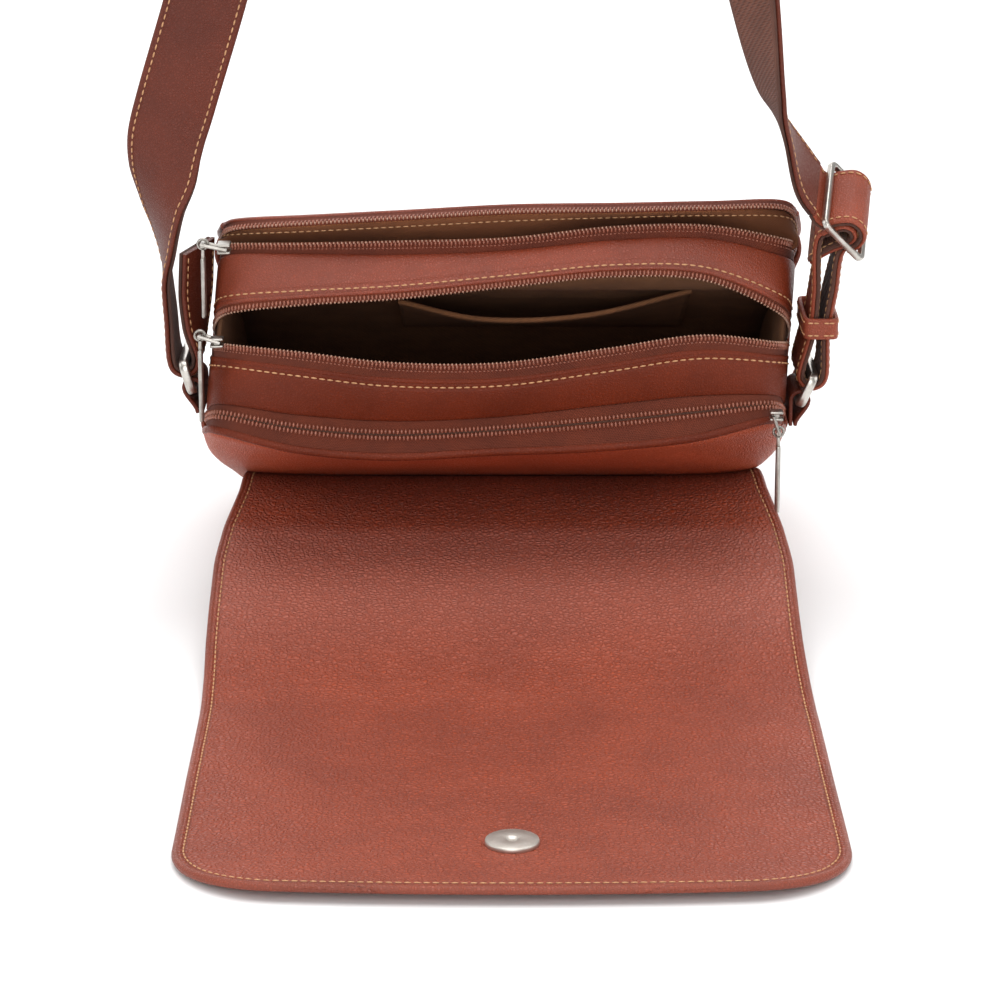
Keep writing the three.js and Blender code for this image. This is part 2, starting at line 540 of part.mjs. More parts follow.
function ribbonGrid(rows) {
  const centre = new THREE.CatmullRomCurve3(rows.map((row) => row.at));
  const wide = new THREE.CatmullRomCurve3(rows.map((row) => row.wide));
  return steps((rows.length - 1) * STEPS_PER_ROW).map((t) => {
    const across = wide.getPoint(t);
    const tangent = centre.getTangent(t);
    across.addScaledVector(tangent, -across.dot(tangent)).setLength(STRAP_WIDTH / 2);
    const at = centre.getPoint(t);
    return [at.clone().sub(across), at.clone().add(across)];
  });
}

function keeperMesh() {
  const { at, height, wall, innerX, innerY } = KEEPER;
  const corners = (x, y) => [[-1, -1], [1, -1], [1, 1], [-1, 1]].map(([a, b]) =>
    new THREE.Vector2((a * x) / 2, (b * y) / 2));
  const band = new THREE.Shape(corners(innerX + 2 * wall, innerY + 2 * wall));
  band.holes.push(new THREE.Path(corners(innerX, innerY).reverse()));
  const geometry = new THREE.ExtrudeGeometry(band, { depth: height, bevelEnabled: false });
  const part = mesh('keeper', geometry.translate(0, 0, -height / 2), 'leather');
  part.position.copy(at);
  return part;
}

// Boolean join of simple closed geometries
function toManifold(geometry) {
  const plain = geometry.clone();
  plain.deleteAttribute('normal');
  plain.deleteAttribute('uv');
  const merged = mergeVertices(plain, 1e-4);
  return new wasm.Manifold(new wasm.Mesh({
    numProp: 3,
    vertProperties: new Float32Array(merged.attributes.position.array),
    triVerts: new Uint32Array(merged.index.array),
  }));
}

function fromManifold(solid) {
  const { vertProperties, triVerts } = solid.getMesh();
  const geometry = new THREE.BufferGeometry();
  geometry.setAttribute('position', new THREE.BufferAttribute(new Float32Array(vertProperties), 3));
  geometry.setIndex(new THREE.BufferAttribute(new Uint32Array(triVerts), 1));
  geometry.computeVertexNormals();
  return geometry;
}

const box = (x, y, z, at) => toManifold(new THREE.BoxGeometry(x, y, z).translate(at.x, at.y, at.z));
const rod = (radius, length, at) =>
  toManifold(new THREE.CylinderGeometry(radius, radius, length, ROD_SIDES).translate(at.x, at.y, at.z));

// Strap slider: a frame with a centre bar, so two windows
function buckleMesh() {
  const long = BUCKLE_INNER + 2 * BUCKLE_BAR;
  const plate = box(2 * BUCKLE_HALF + BUCKLE_BAR, long, BUCKLE_BAR, new THREE.Vector3());
  const windows = [-1, 1].map((side) => {
    const at = new THREE.Vector3((side * BUCKLE_HALF) / 2, 0, 0);
    return box(BUCKLE_HALF - BUCKLE_BAR, BUCKLE_INNER, 2 * BUCKLE_BAR, at);
  });
  const part = mesh('slide_buckle', fromManifold(wasm.Manifold.difference([plate, ...windows])), 'nickel');
  const axes = new THREE.Matrix4().makeBasis(BUCKLE_ALONG, BUCKLE_ACROSS, BUCKLE_OUT);
  part.quaternion.setFromRotationMatrix(axes);
  part.position.copy(BUCKLE_AT);
  return part;
}

// Zip slider: a body, an arm that reaches to two cheeks, and the pin between the cheeks
function sliderMesh(name, { body, deep, pin }) {
  const cheekAt = EYE_WIDTH / 2 + GAP + CHEEK / 2;
  const [from, to] = [vector(body), vector(pin)];
  const square = new THREE.Shape([[-1, -1], [1, -1], [1, 1], [-1, 1]].map(([a, b]) =>
    new THREE.Vector2((a * CHEEK) / 2, (b * CHEEK) / 2)));
  const parts = [box(BODY.x, deep, BODY.z, from), rod(PIN_RADIUS, 2 * cheekAt + CHEEK, to)];
  for (const side of [-1, 1]) {
    const cheek = to.clone().add(new THREE.Vector3(0, side * cheekAt, 0));
    const extrudePath = new THREE.LineCurve3(new THREE.Vector3(from.x, cheek.y, from.z), cheek);
    const arm = new THREE.ExtrudeGeometry(square, { steps: 1, extrudePath, bevelEnabled: false });
    parts.push(toManifold(arm), box(2 * PIN_RADIUS, CHEEK, 2 * PIN_RADIUS, cheek));
  }
  return mesh(name, fromManifold(wasm.Manifold.union(parts)), 'nickel');
}

// Zip pull: an eye round the pin and a plate that hangs from it
function pullMesh(name, { pin, length }) {
  const eye = rod(EYE_RADIUS, EYE_WIDTH, new THREE.Vector3());
  const neck = box(PULL_THICK, EYE_WIDTH, NECK, new THREE.Vector3(0, 0, -EYE_HOLE - NECK / 2));
  const middle = new THREE.Vector3(0, 0, -(length + SHOULDER) / 2);
  const plate = box(PULL_THICK, PULL_WIDTH, length - SHOULDER, middle);
  const solid = wasm.Manifold.union([eye, neck, plate]);
  const bored = wasm.Manifold.difference([solid, rod(EYE_HOLE, 2 * EYE_WIDTH, new THREE.Vector3())]);
  const part = mesh(name, fromManifold(bored), 'nickel');
  part.position.copy(vector(pin));
  return part;
}

// The bag's body, turned as it lies
const body = new THREE.Group();
for (const name of Object.keys(PANELS)) body.add(panelMesh(name));
body.add(gussetMesh('gusset_back', 'back_panel', 'divider_back'));
body.add(gussetMesh('gusset_main', 'divider_back', 'divider_front'));
body.add(gussetMesh('gusset_front', 'divider_front', 'front_panel'));
for (const [name, strip] of Object.entries(STRIPS)) body.add(mouthStrip(name, strip));
for (const [name, spec] of Object.entries(LININGS)) body.add(pouchMesh(name, spec));
body.add(pocketMesh());
body.add(socketMesh());
body.rotation.x = -RECLINE;
body.position.z = MOUTH_LIFT;

// The strap: leather face and webbing back on one centre line, then the adjuster loop
const runGrid = ribbonGrid([...STRAP_RUN.map(wayRow), ...RUN_END.map(threadRow)]);
const loopRows = [...LOOP_THREAD.map(threadRow), ...LOOP_WAY.map(wayRow), ...LOOP_BACK.map(threadRow)];
const loopGrid = ribbonGrid(loopRows);
const faceShift = (STRAP_FACE + GAP) / 2;
const backShift = -(STRAP_BACK + GAP) / 2;

const bag = new THREE.Group();
bag.add(body);
bag.add(flapMesh());
const snap = mesh('snap_disc', snapGeometry(), 'nickel');
snap.position.set(SNAP_PLACE.x, SNAP_PLACE.y, FLAP + SNAP_LIFT);
bag.add(snap);
for (const [side, ring] of Object.entries(RINGS)) {
  bag.add(ringMesh(`ring_${side}`, ring));
  bag.add(tabMesh(`ring_tab_${side}`, ring));
}
bag.add(mesh('strap_leather', wallGeometry(runGrid, STRAP_FACE, faceShift), 'leather'));
bag.add(mesh('strap_webbing', wallGeometry(runGrid, STRAP_BACK, backShift), 'webbing'));
bag.add(mesh('strap_loop', wallGeometry(loopGrid, LOOP_THICK), 'leather'));
bag.add(keeperMesh());
bag.add(buckleMesh());
for (const [zip, spec] of Object.entries(PULLS)) {
  bag.add(sliderMesh(`slider_${zip}`, spec));
  bag.add(pullMesh(`pull_${zip}`, spec));
}

const root = new THREE.Group();
bag.position.copy(CREST).negate();
root.add(bag);

export default root;
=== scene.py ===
"""Looks of the crossbody bag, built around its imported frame.

Shapes are built in millimetres in the bag's working frame (floor at zero, mouth toward -Y) and each finished
mesh is moved once to the part's own frame, in metres.
"""
import logging
import math
from dataclasses import dataclass, field
from enum import Enum
from typing import Callable, Sequence

import bmesh
import bpy
from mathutils import Matrix, Vector


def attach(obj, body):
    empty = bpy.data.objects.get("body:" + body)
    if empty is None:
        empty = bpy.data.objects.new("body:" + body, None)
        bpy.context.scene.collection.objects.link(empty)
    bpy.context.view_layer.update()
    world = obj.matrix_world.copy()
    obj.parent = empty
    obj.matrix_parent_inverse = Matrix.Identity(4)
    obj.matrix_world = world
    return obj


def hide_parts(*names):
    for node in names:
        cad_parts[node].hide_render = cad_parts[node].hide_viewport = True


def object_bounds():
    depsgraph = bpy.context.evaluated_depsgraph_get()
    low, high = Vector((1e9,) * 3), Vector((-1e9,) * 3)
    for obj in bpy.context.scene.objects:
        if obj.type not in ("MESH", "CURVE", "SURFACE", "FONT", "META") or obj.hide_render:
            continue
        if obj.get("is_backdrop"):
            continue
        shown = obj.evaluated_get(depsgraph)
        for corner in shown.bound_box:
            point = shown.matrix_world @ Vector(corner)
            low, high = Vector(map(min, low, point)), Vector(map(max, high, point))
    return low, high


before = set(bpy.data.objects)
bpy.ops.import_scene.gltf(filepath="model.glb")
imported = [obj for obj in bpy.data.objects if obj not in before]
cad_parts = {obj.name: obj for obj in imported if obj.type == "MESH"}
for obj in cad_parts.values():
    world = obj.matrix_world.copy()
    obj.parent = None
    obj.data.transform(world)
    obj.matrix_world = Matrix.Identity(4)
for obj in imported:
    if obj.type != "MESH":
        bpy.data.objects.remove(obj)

logging.basicConfig(level=logging.INFO, format="%(message)s")
log = logging.getLogger("bag")

CAD_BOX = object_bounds()

Pair = tuple[float, float]
Triple = tuple[float, float, float]
Rgb = Triple
Rgba = tuple[float, float, float, float]
Station = tuple[Vector, Vector, Vector]
Surface = Callable[[float, float], Vector]
Curve = Callable[[float], Vector]
Path = Callable[[float], Pair]
Material, Node, NodeTree = bpy.types.Material, bpy.types.Node, bpy.types.NodeTree
Socket = bpy.types.NodeSocket

MM = 0.001
CREST = Vector((20.0, 28.0, 700.0))
TO_ROW = Matrix.Scale(MM, 4) @ Matrix.Translation(-CREST)
FINE = 1e-3
# Rim distance of a surface without a sewn edge, in mm
NO_RIM = 99.0
MEASURED_SPANS = 8
CURVE_SAMPLES = 600
# Stitch shape: share of the pitch, then width and height in mm
STITCH_LENGTH = 0.86
STITCH_WIDTH = 0.75
STITCH_HEIGHT = 0.6
# A direction that no tube runs along
TUBE_UP = Vector((0.31, 0.17, 0.93))
BEVEL_SEGMENTS = 3
SHARP_ANGLE = math.radians(50.0)
# Angles in degrees past which an edge stays sharp
BEAD_CREASE = 180.0
STRAP_CREASE = 70.0
TURNED_CREASE = 60.0
ZIP_CREASE = 45.0


class Slot(Enum):
    """Material slots of the part's record."""

    LEATHER = "leather"
    LINING = "lining"
    ZIP = "zip"
    WEBBING = "webbing"
    NICKEL = "nickel"


class Body(Enum):
    """Moving bodies of the part."""

    BAG = "bag"
    BACK_PULL = "back_pull"
    MAIN_PULL = "main_pull"
    FRONT_PULL = "front_pull"


def clamp(value: float, low: float = 0.0, high: float = 1.0) -> float:
    """Keeps a value between two limits."""
    return min(max(value, low), high)


def ease(value: float) -> float:
    """Smooth step from 0 to 1."""
    value = clamp(value)
    return value * value * (3.0 - 2.0 * value)


def spline(points: Sequence[Vector], t: float) -> Vector:
    """Point on a centripetal curve through the points.

    Args:
        points: The points that the curve passes, all of one size.
        t: Place on the curve, 0 at the first point and 1 at the last.

    Returns:
        The point on the curve.
    """
    last = len(points) - 1
    place = clamp(t) * last
    i = min(int(place), last - 1)
    w = place - i
    b, c = points[i], points[i + 1]
    a = points[i - 1] if i > 0 else b * 2.0 - c
    d = points[i + 2] if i + 2 <= last else c * 2.0 - b
    ab, bc, cd = (max(math.sqrt((q - p).length), FINE) for p, q in ((a, b), (b, c), (c, d)))
    leave = ((b - a) / ab - (c - a) / (ab + bc) + (c - b) / bc) * bc
    reach = ((c - b) / bc - (d - b) / (bc + cd) + (d - c) / cd) * bc
    bend = (b - c) * 2.0 + leave + reach
    turn = (c - b) * 3.0 - leave * 2.0 - reach
    return bend * w ** 3 + turn * w ** 2 + leave * w + b


def even(place: Curve, pitch: float, begin: float = 0.0, end: float = 1.0) -> list[float]:
    """Parameters at an even pitch along a curve.

    Args:
        place: The curve.
        pitch: Spacing along it.
        begin: First parameter.
        end: Last parameter.

    Returns:
        The parameters, from half a pitch after the start.
    """
    steps = [begin + (end - begin) * i / CURVE_SAMPLES for i in range(CURVE_SAMPLES + 1)]
    points = [place(t) for t in steps]
    found: list[float] = []
    walked, wanted = 0.0, pitch / 2.0
    for i in range(CURVE_SAMPLES):
        length = (points[i + 1] - points[i]).length
        while length > 0 and walked + length >= wanted:
            found.append(steps[i] + (steps[i + 1] - steps[i]) * (wanted - walked) / length)
            wanted += pitch
        walked += length
    return found


def basis(x: Vector, y: Vector, z: Vector, at: Vector, size: Vector) -> Matrix:
    """Matrix that puts a unit shape at a place, along three axes, at a size."""
    turned = Matrix((x, y, z)).transposed().to_4x4()
    return Matrix.Translation(at) @ turned @ Matrix.Diagonal(size).to_4x4()


@dataclass
class Dress:
    """How a finished mesh is dressed and what it stands for.

    Attributes:
        material: Its material.
        slot: The record's slot; not used.
        body: The body that it rides on.
        replaces: CAD nodes that it stands for.
        thick: Wall that a Solidify gives it, in mm, or 0.
        bevel: Width of a Bevel, in mm, or 0.
        crease: Angle in degrees past which an edge stays sharp.
    """

    material: Material
    slot: Slot
    body: Body = Body.BAG
    replaces: tuple[str, ...] = ()
    thick: float = 0.0
    bevel: float = 0.0
    crease: float = 50.0


class Model:
    """A mesh built in working millimetres that becomes one finished object."""

    def __init__(self, name: str) -> None:
        """Starts an empty mesh with a UV map and a rim attribute."""
        self.name = name
        self.bm = bmesh.new()
        self.uv = self.bm.loops.layers.uv.new("UVMap")
        self.rim = self.bm.verts.layers.float.new("rim")

    def sheet(self, columns: int, rows: int, place: Surface, size: Pair = (0.0, 0.0),
              rim: Callable[[float, float], float] | None = None) -> list[bmesh.types.BMVert]:
        """Lays a grid on a surface.

        Args:
            columns: Spans across.
            rows: Spans along.
            place: The surface, across and along from 0 to 1.
            size: Real width and length in mm for the UV map, or zeros to measure them.
            rim: Distance in mm from the sewn edge, at a place on the surface.

        Returns:
            The new vertices.
        """
        made = bmesh.ops.create_grid(self.bm, x_segments=columns, y_segments=rows, size=0.5, calc_uvs=True)
        verts = made["verts"]
        if not any(size):
            middle = [place(0.5, i / MEASURED_SPANS) for i in range(MEASURED_SPANS + 1)]
            size = ((place(1.0, 0.5) - place(0.0, 0.5)).length,
                    sum((b - a).length for a, b in zip(middle, middle[1:])))
        for face in {f for v in verts for f in v.link_faces}:
            for loop in face.loops:
                across, along = loop[self.uv].uv
                loop[self.uv].uv = (across * size[0] * MM, along * size[1] * MM)
        for vert in verts:
            u, w = vert.co.x + 0.5, vert.co.y + 0.5
            vert[self.rim] = rim(u, w) if rim else NO_RIM
            vert.co = place(u, w)
        return verts

    def sweep(self, frames: Sequence[Station], profile: Sequence[Pair],
              closed: bool = False) -> None:
        """Sweeps a closed profile along frames.

        Args:
            frames: Centre, side and up direction at each step.
            profile: Offsets along side and up, in order round the section.
            closed: Whether the last frame meets the first.
        """
        around, along = len(profile), len(frames) - (0 if closed else 1)

        def place(u: float, w: float) -> Vector:
            """Point of the sweep."""
            a, b = profile[round(u * around) % around]
            at, side, up = frames[round(w * along) % len(frames)]
            return at + side * a + up * b

        width = sum(math.dist(profile[i], profile[i - 1]) for i in range(around))
        length = sum((frames[i][0] - frames[i - 1][0]).length for i in range(1, len(frames)))
        verts = self.sheet(around, along, place, (width, length))
        bmesh.ops.remove_doubles(self.bm, verts=verts, dist=FINE)
        if not closed:
            open_edges = [e for e in self.bm.edges if e.is_boundary]
            bmesh.ops.holes_fill(self.bm, edges=open_edges, sides=0)

    def tube(self, path: Sequence[Vector], radius: float, sides: int = 8, closed: bool = False) -> None:
        """Sweeps a round section along a path.

        Args:
            path: Points of the centre line.
            radius: Radius of the tube.
            sides: Sides of the section.
            closed: Whether the path is a ring.
        """
        frames = []
        count = len(path)
        for i, at in enumerate(path):
            ahead = path[(i + 1) % count] if closed else path[min(i + 1, count - 1)]
            behind = path[i - 1] if closed else path[max(i - 1, 0)]
            tangent = (ahead - behind).normalized()
            side = tangent.cross(TUBE_UP).normalized()
            frames.append((at, side, side.cross(tangent)))
        turns = [2.0 * math.pi * k / sides for k in range(sides)]
        self.sweep(frames, [(radius * math.cos(a), radius * math.sin(a)) for a in turns], closed)

    def block(self, size: Sequence[float], matrix: Matrix, bevel: float) -> None:
        """Adds a box with rounded edges.

        Args:
            size: Its length along each of its axes.
            matrix: Its place and turn.
            bevel: Radius of its edges.
        """
        made = bmesh.ops.create_cube(self.bm, size=1.0, matrix=Matrix.Diagonal(Vector(size)).to_4x4())
        edges = list(dict.fromkeys(e for v in made["verts"] for e in v.link_edges))
        cut = bmesh.ops.bevel(self.bm, geom=edges, offset=bevel, offset_type="OFFSET",
                              segments=BEVEL_SEGMENTS, profile=0.5, affect="EDGES", material=-1)
        verts = {v for f in cut["faces"] for v in f.verts} | {v for v in made["verts"] if v.is_valid}
        bmesh.ops.transform(self.bm, matrix=matrix, verts=list(verts))

    def lathe(self, outline: Sequence[Pair], matrix: Matrix, steps: int = 48) -> None:
        """Spins an outline of radius and height about its own axis and puts it in place.

        Args:
            outline: Radius and height of each point, from the axis and back to it.
            matrix: Place and turn of the shape.
            steps: Steps round the axis.
        """
        verts = [self.bm.verts.new((r, 0.0, h)) for r, h in outline]
        edges = [self.bm.edges.new(pair) for pair in zip(verts, verts[1:])]
        before = set(self.bm.verts) - set(verts)
        bmesh.ops.spin(self.bm, geom=verts + edges, cent=(0, 0, 0), axis=(0, 0, 1), angle=2.0 * math.pi,
                       steps=steps, use_merge=True)
        made = [v for v in self.bm.verts if v not in before]
        bmesh.ops.remove_doubles(self.bm, verts=made, dist=FINE)
        made = [v for v in self.bm.verts if v not in before]
        faces = list(dict.fromkeys(f for v in made for f in v.link_faces))
        bmesh.ops.recalc_face_normals(self.bm, faces=faces)
        bmesh.ops.transform(self.bm, matrix=matrix, verts=made)

    def bead(self, matrix: Matrix) -> None:
        """Adds a small rounded bead."""
        bmesh.ops.create_icosphere(self.bm, subdivisions=1, radius=0.5, matrix=matrix)

    def stitches(self, surface: Surface, path: Path, pitch: float, lift: float = 0.2, begin: float = 0.0,
                 end: float = 1.0, side: float = 1.0) -> None:
        """Sews a row of stitches on a surface.

        Args:
            surface: The surface that is sewn.
            path: Place on the surface along the row.
            pitch: Spacing of the stitches.
            lift: Height of the thread's middle over the surface.
            begin: Start of the row on the path.
            end: End of the row on the path.
            side: Side of the surface that shows them, 1 or -1.
        """
        def at(t: float) -> Vector:
            """Point of the row."""
            return surface(*path(t))

        for t in even(at, pitch, begin, end):
            tangent = (at(min(t + FINE, 1.0)) - at(max(t - FINE, 0.0))).normalized()
            u, w = path(t)
            across = surface(clamp(u + FINE), w) - surface(clamp(u - FINE), w)
            along = surface(u, clamp(w + FINE)) - surface(u, clamp(w - FINE))
            up = across.cross(along).normalized() * side
            wide = up.cross(tangent).normalized()
            size = Vector((pitch * STITCH_LENGTH, STITCH_WIDTH, STITCH_HEIGHT))
            self.bead(basis(tangent, wide, up, at(t) + up * lift, size))

    def finish(self, dress: Dress) -> bpy.types.Object:
        """Turns the mesh into a dressed object that rides on its body.

        Args:
            dress: How it is dressed.

        Returns:
            The finished object.
        """
        bmesh.ops.transform(self.bm, matrix=TO_ROW, verts=self.bm.verts)
        limit = math.radians(dress.crease)
        for face in self.bm.faces:
            face.smooth = True
        for edge in self.bm.edges:
            if len(edge.link_faces) == 2 and edge.calc_face_angle(0.0) > limit:
                edge.smooth = False
        mesh = bpy.data.meshes.new(self.name)
        self.bm.to_mesh(mesh)
        self.bm.free()
        mesh.materials.append(dress.material)
        piece = bpy.data.objects.new(self.name, mesh)
        bpy.context.scene.collection.objects.link(piece)
        if dress.thick:
            wall = piece.modifiers.new("Wall", "SOLIDIFY")
            wall.thickness = dress.thick * MM
            wall.offset = 0.0
            wall.use_even_offset = False
        if dress.bevel:
            edge = piece.modifiers.new("Edge", "BEVEL")
            edge.width = dress.bevel * MM
            edge.segments = 2
            edge.limit_method = "ANGLE"
            edge.angle_limit = SHARP_ANGLE
        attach(piece, dress.body.value)
        if dress.replaces:
            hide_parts(*dress.replaces)
        log.info("piece %s: %d faces", self.name, len(mesh.polygons))
        return piece


class Tree:
    """Short hand for building a node tree."""

    def __init__(self, tree: NodeTree) -> None:
        """Keeps the tree that nodes are added to."""
        self.tree = tree

    def add(self, kind: str, inputs: dict | None = None, **settings: object) -> Node:
        """Adds a node, with its settings and with values or links for its inputs.

        Args:
            kind: Blender's name of the node type.
            inputs: Values or output sockets by input name or number.
            settings: Attributes of the node.

        Returns:
            The node.
        """
        node = self.tree.nodes.new(kind)
        for name, value in settings.items():
            setattr(node, name, value)
        for name, value in (inputs or {}).items():
            if isinstance(value, Socket):
                self.tree.links.new(value, node.inputs[name])
            else:
                node.inputs[name].default_value = value
        return node

    def link(self, source: Socket, target: Socket) -> None:
        """Links an output to an input."""
        self.tree.links.new(source, target)

    def noise(self, at: Socket, scale: object, detail: float = 2.0, roughness: float = 0.5) -> Socket:
        """Adds a Noise texture and gives its value."""
        return self.add("ShaderNodeTexNoise", {"Vector": at, "Scale": scale, "Detail": detail,
                                               "Roughness": roughness}).outputs["Fac"]

    def math(self, operation: str, a: object, b: object = 0.0, c: object = 0.0) -> Socket:
        """Adds a Math node and gives its output."""
        return self.add("ShaderNodeMath", {0: a, 1: b, 2: c}, operation=operation).outputs[0]

    def span(self, value: object, low: float, high: float, to_low: float = 0.0,
             to_high: float = 1.0) -> Socket:
        """Maps a value smoothly from one span to another."""
        node = self.add("ShaderNodeMapRange", {"Value": value, "From Min": low, "From Max": high,
                                               "To Min": to_low, "To Max": to_high},
                        interpolation_type="SMOOTHSTEP")
        return node.outputs["Result"]

    def mix(self, share: object, a: object, b: object) -> Socket:
        """Mixes two colours and gives the result."""
        return self.add("ShaderNodeMix", {0: share, 6: a, 7: b}, data_type="RGBA").outputs[2]


def new_group(name: str, inputs: dict[str, str],
              outputs: dict[str, str]) -> tuple[Tree, Node, Node]:
    """Starts a shader node group.

    Args:
        name: Name of the group.
        inputs: Socket type of each input.
        outputs: Socket type of each output.

    Returns:
        Its tree, its input node and its output node.
    """
    group = bpy.data.node_groups.new(name, "ShaderNodeTree")
    for label, kind in inputs.items():
        group.interface.new_socket(label, in_out="INPUT", socket_type=kind)
    for label, kind in outputs.items():
        group.interface.new_socket(label, in_out="OUTPUT", socket_type=kind)
    tree = Tree(group)
    return tree, tree.add("NodeGroupInput"), tree.add("NodeGroupOutput")


FLOAT, VECTOR, COLOR = "NodeSocketFloat", "NodeSocketVector", "NodeSocketColor"


# Grain: scales of its drift, pores and creases, push of its cells, their rise, heights of pores and creases
GRAIN_DRIFT = 0.7
GRAIN_PORES = 3.1
GRAIN_CREASES = 0.12
GRAIN_PUSH = 0.9
GRAIN_RISE = 0.32
PORE_HEIGHT = 0.35
CREASE_HEIGHT = 1.4
# Clouds, woven threads and sewn edges
CLOUD_SPAN = (0.32, 0.68)
RIB_HEIGHT = 0.35
PICK_HEIGHT = 0.3
GAP_SPAN = (0.1, 0.55, 1.0, 0.0)
PRESS_SPAN = (0.0, 1.3)
EDGE_SPAN = (0.0, 2.2, 1.0, 0.0)


class Effects:
    """Shared shader effects, each built once as a node group."""

    def __init__(self) -> None:
        """Builds every group."""
        self.grain = self.build_grain()
        self.mottle = self.build_mottle()
        self.weave = self.build_weave()
        self.press = self.build_press()

    @staticmethod
    def build_grain() -> NodeTree:
        """Pebbled leather grain: raised cells with fine pores and long soft creases."""
        tree, given, out = new_group("leather_grain", {"Vector": VECTOR, "Scale": FLOAT},
                                     {"Height": FLOAT, "Valley": FLOAT})
        at, scale = given.outputs["Vector"], given.outputs["Scale"]
        drift = tree.add("ShaderNodeTexNoise", {"Vector": at, "Detail": 2.0,
                                                "Scale": tree.math("MULTIPLY", scale, GRAIN_DRIFT)})
        shift = tree.add("ShaderNodeVectorMath", {0: drift.outputs["Color"], 1: (0.5, 0.5, 0.5)},
                         operation="SUBTRACT")
        width = tree.math("DIVIDE", GRAIN_PUSH, scale)
        push = tree.add("ShaderNodeVectorMath", {0: shift.outputs[0], "Scale": width}, operation="SCALE")
        moved = tree.add("ShaderNodeVectorMath", {0: at, 1: push.outputs[0]}, operation="ADD").outputs[0]
        cells = tree.add("ShaderNodeTexVoronoi", {"Vector": moved, "Scale": scale},
                         feature="DISTANCE_TO_EDGE")
        raised = tree.span(cells.outputs["Distance"], 0.0, GRAIN_RISE)
        pores = tree.noise(at, tree.math("MULTIPLY", scale, GRAIN_PORES), 3.0)
        creases = tree.noise(at, tree.math("MULTIPLY", scale, GRAIN_CREASES), 4.0, 0.6)
        fine = tree.math("MULTIPLY_ADD", pores, PORE_HEIGHT, raised)
        height = tree.math("MULTIPLY_ADD", creases, CREASE_HEIGHT, fine)
        tree.link(height, out.inputs["Height"])
        tree.link(tree.math("SUBTRACT", 1.0, raised), out.inputs["Valley"])
        return tree.tree

    @staticmethod
    def build_mottle() -> NodeTree:
        """Cloudy change between two colours."""
        tree, given, out = new_group(
            "mottle", {"Vector": VECTOR, "Scale": FLOAT, "Low": COLOR, "High": COLOR}, {"Color": COLOR})
        cloud = tree.noise(given.outputs["Vector"], given.outputs["Scale"], 5.0, 0.62)
        share = tree.span(cloud, *CLOUD_SPAN)
        tree.link(tree.mix(share, given.outputs["Low"], given.outputs["High"]), out.inputs["Color"])
        return tree.tree

    @staticmethod
    def build_weave() -> NodeTree:
        """Woven threads: ribs along one way, crossed by finer ones."""
        tree, given, out = new_group(
            "weave", {"Vector": VECTOR, "Ribs": FLOAT, "Picks": FLOAT, "Slant": FLOAT},
            {"Height": FLOAT, "Gap": FLOAT})
        split = tree.add("ShaderNodeSeparateXYZ", {0: given.outputs["Vector"]})
        x, y = split.outputs[0], split.outputs[1]
        lean = tree.math("MULTIPLY_ADD", y, given.outputs["Slant"], x)
        count = tree.math("MULTIPLY", lean, given.outputs["Ribs"])
        ribs = tree.math("SINE", tree.math("MULTIPLY", count, 2.0 * math.pi))
        step = tree.math("MULTIPLY", tree.math("MULTIPLY", y, given.outputs["Picks"]), 2.0 * math.pi)
        half = tree.math("MULTIPLY", count, math.pi)
        picks = tree.math("SINE", tree.math("ADD", step, half))
        ridge = tree.math("MULTIPLY_ADD", ribs, RIB_HEIGHT, 0.5)
        height = tree.math("MULTIPLY_ADD", picks, PICK_HEIGHT, ridge)
        tree.link(height, out.inputs["Height"])
        tree.link(tree.span(height, *GAP_SPAN), out.inputs["Gap"])
        return tree.tree

    @staticmethod
    def build_press() -> NodeTree:
        """Sewn edge: a pressed line under the stitches and a darker turned edge."""
        tree, given, out = new_group("sewn_edge", {"Distance": FLOAT, "Line": FLOAT},
                                     {"Height": FLOAT, "Edge": FLOAT})
        off = tree.math("ABSOLUTE", tree.math("SUBTRACT", given.outputs["Distance"], given.outputs["Line"]))
        tree.link(tree.span(off, *PRESS_SPAN), out.inputs["Height"])
        tree.link(tree.span(given.outputs["Distance"], *EDGE_SPAN), out.inputs["Edge"])
        return tree.tree


def paint(rgb: Rgb) -> Rgba:
    """Opaque colour from red, green and blue."""
    return (*rgb, 1.0)


@dataclass(frozen=True)
class Finish:
    """Base of the finishes: a material with one shader, two colours and the shared effects."""

    name: str
    low: Rgb
    high: Rgb

    def start(self) -> tuple[Material, Tree, Node]:
        """Makes the material.

        Returns:
            The material, its tree and its shader.
        """
        material = bpy.data.materials.new(self.name)
        material.use_nodes = True
        shader = next(n for n in material.node_tree.nodes if n.type == "BSDF_PRINCIPLED")
        return material, Tree(material.node_tree), shader

    @staticmethod
    def group(tree: Tree, effect: NodeTree, inputs: dict) -> Node:
        """Places a shared effect in a material."""
        return tree.add("ShaderNodeGroup", inputs, node_tree=effect)

    def clouds(self, tree: Tree, effects: Effects, at: Socket, scale: float) -> Socket:
        """Cloudy colour between the finish's two."""
        node = self.group(tree, effects.mottle, {"Vector": at, "Scale": scale, "Low": paint(self.low),
                                                 "High": paint(self.high)})
        return node.outputs["Color"]

    def shade(self, tone: float) -> Rgba:
        """The darker colour, times a tone."""
        return paint(tuple(c * tone for c in self.low))

    @staticmethod
    def bump(tree: Tree, shader: Node, height: Socket, depth: float) -> None:
        """Puts a height, times a depth in metres, on the shader's normal."""
        node = tree.add("ShaderNodeBump", {"Height": height, "Distance": depth, "Strength": 1.0})
        tree.link(node.outputs["Normal"], shader.inputs["Normal"])


# Leather: scale of its clouds, share and tone of dark valleys and edges, roughness and depth that they add
CLOUD_SCALE = 26.0
VALLEY_SHARE = 0.38
VALLEY_TONE = 0.5
VALLEY_ROUGH = 0.2
EDGE_SHARE = 0.5
EDGE_TONE = 0.55
PRESS_HEIGHT = 2.2
